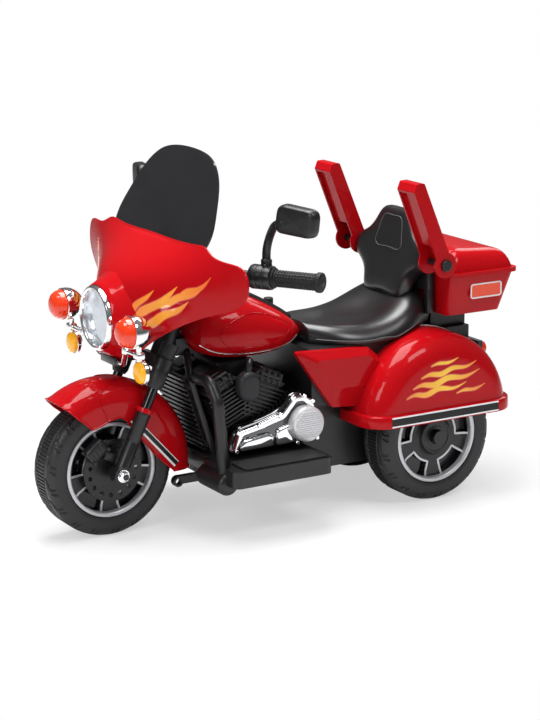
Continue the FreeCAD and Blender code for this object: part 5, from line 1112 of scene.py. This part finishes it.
def fender_shell(offset):
    """Half-round rows of the left rear fender, drawn in by an offset."""
    rows = []
    for a in math.pi * np.arange(97) / 96:
        row = []
        for x, r in section:
            nx = min(1.0, max(0.0, (x - FLAT_X) / ROUND))
            rr = max(0.1, r - offset * math.sqrt(1 - nx * nx))
            row.append((x - offset * nx, FEN_Y - rr * math.cos(a), FEN_Z + rr * math.sin(a)))
        rows.append(row)
    return rows


rear = Shape().add_both(shell(fender_shell(0.0), fender_shell(FEN_WALL)), RED)
plan = [(INNER_X, FEN_FRONT), (110, FEN_FRONT), (FLAT_X, FEN_FRONT)]
for k in range(1, 12):
    a = QUARTER * k / 12
    plan.append((FLAT_X + ROUND * math.sin(a), FEN_FRONT + ROUND - ROUND * math.cos(a)))
plan += [(FEN_X, FEN_FRONT + ROUND + k * 2 * (FEN_R - ROUND) / 12) for k in range(13)]
plan += [(x, 2 * FEN_Y - y) for x, y in plan[:14][::-1]]
ahead = np.gradient(np.array(plan), axis=0)
outward = np.stack([ahead[:, 1], -ahead[:, 0]], 1) / np.linalg.norm(ahead, axis=1)[:, None]
band = [(-1.5, 165.2), (6.4, 165.2), (7.7, 166.4), (BAND_OUT, 168), (7.4, 185.0), (6.6, 187.2), (4.6, 188.6),
        (-1.5, 189)]
rows = [[(x + nx * off, y + ny * off, z) for off, z in band] for (x, y), (nx, ny) in zip(plan, outward)]
rear.add_both(solid(rows), RED)
tail_wall = [(TAIL_Y, FEN_Z), (FEN_Y + TAIL_R, FEN_Z)]
for a in np.linspace(0.0, math.acos((TAIL_Y - FEN_Y) / TAIL_R), 12):
    tail_wall.append((FEN_Y + TAIL_R * math.cos(a), FEN_Z + TAIL_R * math.sin(a) + 0.1))
rear.add_both(plate(tail_wall, INNER_X, 0, 2.6), RED)
rear.make("fenders_rear", "chassis", ("rear_fenders",), 35)


def band_point(y, z):
    """Point of the band's outer face, which leans in a little, and its outward direction."""
    return (FEN_X + BAND_OUT - 0.6 * (z - 168) / 17, y, z), ACROSS


tapes = Shape()
y0, y1 = FEN_FRONT + ROUND - 10, FEN_Y + FEN_R - ROUND + 4
for z0, z1, mat in ((167.6, 170.4, WHITE), (170.4, 184.0, INK), (184.0, 186.8, WHITE)):
    tapes.add_both(film([(y0, z0), (y1, z0), (y1, z1), (y0, z1)], band_point, FILM_LIFT, 20.0), mat)
arc_r = FEN_R + 0.4
for x, radius, mat in ((INNER_X + 5.5, 1.1, WHITE), (INNER_X + 2.0, 2.4, INK)):
    arc = [(x, FEN_Y - arc_r * math.cos(a), FEN_Z + arc_r * math.sin(a)) for a in np.linspace(0.5, 2.75, 60)]
    tapes.add_both(tube(arc, radius, 8), mat)
tapes.make("fender_rear_tapes", "chassis", slot="red_plastic")
flames("fender_flames", "chassis", [
    ([(186, 216), (206, 222), (230, 219), (256, 227), (290, 224), (322, 233)], [1, 8, 11, 9, 5, 1]),
    ([(200, 233), (222, 239), (248, 236), (276, 245), (312, 243), (352, 254)], [1, 9, 12, 10, 6, 1]),
    ([(218, 251), (240, 257), (264, 255), (288, 263), (318, 262), (344, 271)], [1, 8, 10, 8, 5, 1]),
    ([(300, 213), (318, 217), (340, 216), (366, 224)], [1, 6, 5, 1]),
    ([(240, 272), (258, 276), (278, 275), (302, 282)], [1, 6, 5, 1]),
], on_side(FEN_X), FLAME_TAIL)


# Engine covers and guards

PRIMARY_X, DISC_Y, DISC_Z, DISC_R = 92.2, 7, 181, 29.0
primary = Shape()
cover = [(-148, 140), (-148, 160), (-137, 190), (-88, 199), (-46, 211), (-20, 240), (8, 240), (26, 226),
         (44, 187), (38, 140)]
# Base plate of the primary cover in the chrome with painted dark reflection
primary.add_both(plate(rounded(cover, 18, 8), PRIMARY_X, 0, 22.4, 10.0, 8), CHROME_DARK_REFLECTION)
ridge = [(-144, 150), (-134, 184), (-88, 193), (-43, 206), (-18, 234), (6, 234), (22, 222), (38, 188),
         (30, 188), (14, 214), (2, 224), (-12, 224), (-36, 196), (-84, 182), (-126, 174), (-136, 150)]
long_pad = [(-132, 146), (-132, 160), (-122, 168), (-72, 174), (-60, 168), (-60, 146)]
short_pad = [(-54, 146), (-54, 176), (-26, 184), (-18, 176), (-18, 146)]
for outline, corner, high, edge in (
        (ridge, 5, 29.5, 2.6), (long_pad, 8, 30.5, 6.0), (short_pad, 8, 28.5, 5.0)):
    primary.add_both(plate(rounded(outline, corner), PRIMARY_X, 20, high, edge), CHROME)
primary.add_both(lathe([(108, 33.6), (130, 33.6), (133.4, 32.4), (134.6, 30.4), (135.0, 29.4), (135.0, 0)],
                       (0, DISC_Y, DISC_Z), ACROSS, 72), BRIGHT)
for k in range(-6, 7):
    z = DISC_Z + k * 4.0
    reach = math.sqrt(DISC_R ** 2 - (z - DISC_Z) ** 2) - 0.5
    primary.add_both(block((134, DISC_Y - reach, z - 1.2), (136.8, DISC_Y + reach, z + 1.2), 0.7, 2), BRIGHT)
for y, z in ((-140, 148), (-136, 182), (-92, 190), (-48, 202), (-22, 232), (4, 233), (22, 221), (38, 186),
             (32, 150), (-10, 146)):
    bolt = lathe([(20, 4.2), (30.4, 4.2), (31.6, 3.4), (31.6, 0)], (PRIMARY_X, y, z), ACROSS, 12)
    primary.add_both(bolt, CHROME)
primary.make("primary_chrome", "chassis", ("primary_covers",), 30)

HORN_Y, HORN_Z = -103.0, 262.0
teardrop = [(0, 27), (19, 17), (22, 0), (14, -24), (0, -29), (-14, -24), (-22, 0), (-19, 17)]
horn_line = spline([(HORN_Y + y, HORN_Z + z) for y, z in teardrop], 60, closed=True)
horn = Shape().add_both(plate(horn_line, 92, 0, 20, 9.0, 7), GREY)
stalk = [(96, HORN_Y + 2, HORN_Z + 22), (97, HORN_Y + 4, HORN_Z + 38), (90, HORN_Y + 10, HORN_Z + 44),
         (80, HORN_Y + 12, HORN_Z + 44)]
horn.add_both(tube(bent(stalk, 6), 6.0, 16), BLACK)
horn.make("horn_shells", "chassis", ("horn_covers",))

CRANK_Y, CRANK_Z, CYLINDER_TILT = -100, 150, math.radians(24)
heads = Shape()
for tilt in (-CYLINDER_TILT, CYLINDER_TILT):
    on_cylinder = leaned(tilt, CRANK_Y, CRANK_Z)
    for x, y, low, high, r, segments, mat in (
            (88, 32, 117.6, 124.5, 1.5, 3, BLACK), (90, 33.5, 123.5, 127, 1.0, 2, GREY),
            (85, 29, 126, 136, 3.0, 3, BLACK)):
        heads.add(moved(block((-x, -y, low), (x, y, high), r, segments), on_cylinder), mat)
    for lo, hi, r in (((24, -25, 134), (82, 25, 143.5), 4.5), ((84, -24, 128), (89.5, 24, 134.5), 1.5),
                      ((32, -14, 142), (72, 14, 146.5), 3.0)):
        heads.add_both(moved(block(lo, hi, r), on_cylinder), BLACK)
    for y in (-21, -7, 7, 21):
        heads.add_both(moved(block((80, y - 2, 118), (91, y + 2, 141), 1.2, 2), on_cylinder), GREY)
    for x, y in ((40, -27), (82, -27), (40, 27), (82, 27)):
        bolt = lathe([(126, 4), (130, 4), (131, 3.2), (131, 0)], (x, y, 0), UP, 6)
        heads.add_both(moved(bolt, on_cylinder), GREY)
heads.add(block((-44, -138, 258), (44, -62, 300), 8.0), BLACK)
heads.make("rocker_boxes", "chassis", ("rocker_covers",))

guard = bent([(68, -196.5, 283), (126, -198, 288), (148, -194, 254), (152, -182, 106)], 24, 12)
guards = Shape().add_both(tube(guard, 11.0, 32), BLACK)
guards.make("guard_tubes", "chassis", ("crash_bars",), 60)


# Rounded crown over the flat top of the case lid

CROWN_RIM, CROWN_HALF_W, CROWN_FRONT, CROWN_REAR, CROWN_FALL = 431.5, 148.0, 313.0, 461.0, 0.2
crown_rows = []
for height, inset in ((0.0, 1.0), (8.5, 2.5), (18.5, 5.5), (27.5, 9.5), (34.5, 14.0), (39.0, 19.5),
                      (41.7, 26.0), (43.0, 34.0)):
    side, front, back = CROWN_HALF_W - inset, CROWN_FRONT + inset, CROWN_REAR - inset
    row = []
    for x, y in rounded([(-side, front), (side, front), (side, back), (-side, back)], 16, 8):
        fall = CROWN_FALL * (y - CROWN_FRONT) / (CROWN_REAR - CROWN_FRONT)
        row.append((x, y, CROWN_RIM + height * (1 - fall)))
    crown_rows.append(row)
Shape().add(solid(crown_rows), RED).make("lid_crown", "top_case_lid", sharp=50)


# Pieces kept from the frame, with their finishes

FINISH = (
    (BLACK, "chassis_tray main_frame radiator_grille engine_case engine_cylinders body_shell tank_console"
            " armrest_pins rear_axle gearbox_housing steering_stem fairing_inner handlebar brake_disc"),
    (RED, "side_panels top_case top_case_lid armrest_left armrest_right"), (RED_LENS_PAINTED_GLOW, "tail_lights"),
    (CORAL, "case_reflectors"), (GRIP, "footboard_mats foot_pedal"), (STEEL, "lid_hinge_pins motor"),
    (GREY, "battery power_button direction_switch"), (NYLON, "drive_gear motor_pinion"),
)
for mat, names in FINISH:
    for name in names.split():
        NODES[name].data.materials.clear()
        NODES[name].data.materials.append(mat)


# Pale border round each reflector, on the lens's own corners

lens_node = NODES["case_reflectors"]
lens = np.array([tuple(lens_node.matrix_world @ v.co) for v in lens_node.data.vertices]) / MM
lens = lens[lens[:, 0] > 0]
low, high = lens.min(0), lens.max(0)
tilt = (high[0] - lens[lens[:, 2] < low[2] + 0.5][:, 0].max()) / (high[2] - low[2])
y0, y1, z0, z1 = low[1] - 1, high[1] + 1, low[2] - 1, high[2] + 1
frame_line = rounded([(y0, z0), (y1, z0), (y1, z1), (y0, z1)], 5)
border = Shape().add_both(bead([(high[0] + (z - high[2]) * tilt, y, z) for y, z in frame_line], 1.5), WHITE)
border.make("reflector_borders", "chassis", slot="red_lens")


# Stage, in metres

PURE_WHITE = (1.0, 1.0, 1.0, 1.0)
floor_mesh = bpy.data.meshes.new("floor")
floor_mesh.from_pydata([(-9, -9, 0), (9, -9, 0), (9, 9, 0), (-9, 9, 0)], [], [(0, 1, 2, 3)])
floor = bpy.data.objects.new("floor", floor_mesh)
scene.collection.objects.link(floor)
floor_mat = bpy.data.materials.new("floor")
nodes = Nodes(floor_mat)
diffuse = nodes.add("BsdfDiffuse", {"Color": (0.82, 0.82, 0.83, 1.0)})
glow = nodes.add("Emission", {"Color": PURE_WHITE, "Strength": 1.0})
length = nodes.add("VectorMath", {0: nodes.add("TexCoord").outputs["Object"]}, operation="LENGTH")
fade = nodes.add("MapRange", {"Value": length.outputs["Value"], "From Min": 0.35, "From Max": 1.0,
                              "To Min": 0.52, "To Max": 1.0})
rays = nodes.add("LightPath").outputs
seen = nodes.add("Math", {0: rays["Is Camera Ray"], 1: fade.outputs["Result"]}, operation="MULTIPLY")
mix = nodes.add("MixShader", {0: seen.outputs[0], 1: diffuse.outputs[0], 2: glow.outputs[0]})
nodes.add("OutputMaterial", {"Surface": mix.outputs[0]})
floor_mesh.materials.append(floor_mat)

scene.world = bpy.data.worlds.new("studio")
nodes = Nodes(scene.world)
split = nodes.add("SeparateXYZ", {0: nodes.add("TexCoord").outputs["Generated"]})
rise = nodes.add("MapRange", {"Value": split.outputs["Z"], "From Min": -1.0})
ramp = nodes.add("ValToRGB", {"Fac": rise.outputs["Result"]})
for place, value in ((0.30, 0.35), (0.62, 0.55), (0.85, 1.0)):
    ramp.color_ramp.elements.new(place).color = (value, value, value * 1.01, 1.0)
ramp.color_ramp.elements[0].color = (0.8, 0.8, 0.8, 1.0)
ramp.color_ramp.elements[-1].color = PURE_WHITE
room = nodes.add("Background", {"Color": ramp.outputs["Color"], "Strength": 0.24})
white = nodes.add("Background", {"Color": PURE_WHITE, "Strength": 1.0})
rays = nodes.add("LightPath").outputs
either = nodes.add("Math", {0: rays["Is Camera Ray"], 1: rays["Is Transmission Ray"]}, operation="MAXIMUM")
mix = nodes.add("MixShader", {0: either.outputs[0], 1: room.outputs[0], 2: white.outputs[0]})
nodes.add("OutputWorld", {"Surface": mix.outputs[0]})


def aimed(name, data, place, aim):
    """Lamp or camera at a place in metres, looking at a point."""
    thing = bpy.data.objects.new(name, data)
    thing.location = place
    thing.rotation_euler = (Vector(aim) - Vector(place)).to_track_quat("-Z", "Y").to_euler()
    scene.collection.objects.link(thing)
    return thing


for name, place, aim, size, watts in (
        ("top", (-0.25, -0.15, 2.4), (-0.1, 0, 0.2), (2.0, 1.2), 84),
        ("key", (1.2, -2.6, 1.7), (0, -0.1, 0.35), (0.9, 1.3), 29),
        ("side", (2.0, 0.45, 2.9), (0, 0.1, 0.3), (1.2, 0.9), 34),
        ("back", (-1.4, 2.2, 1.9), (0, 0, 0.35), (1.4, 1.2), 20)):
    light = bpy.data.lights.new(name, "AREA")
    light.shape = "RECTANGLE"
    light.size, light.size_y = size
    light.energy = watts
    aimed(name, light, place, aim)

FOCAL_PX, IMAGE_H, SENSOR = 2130.4, 720, 36.0
CAMERA_AT, CAMERA_AIM = (3.3220, -2.0025, 1.2446), (0.0, 0.0036, 0.2752)
camera = bpy.data.cameras.new("camera")
camera.sensor_fit = "VERTICAL"
camera.sensor_height = SENSOR
camera.lens = FOCAL_PX / IMAGE_H * SENSOR
camera.clip_end = 50.0
scene.camera = aimed("camera", camera, CAMERA_AT, CAMERA_AIM)
scene.view_settings.view_transform = "Standard"
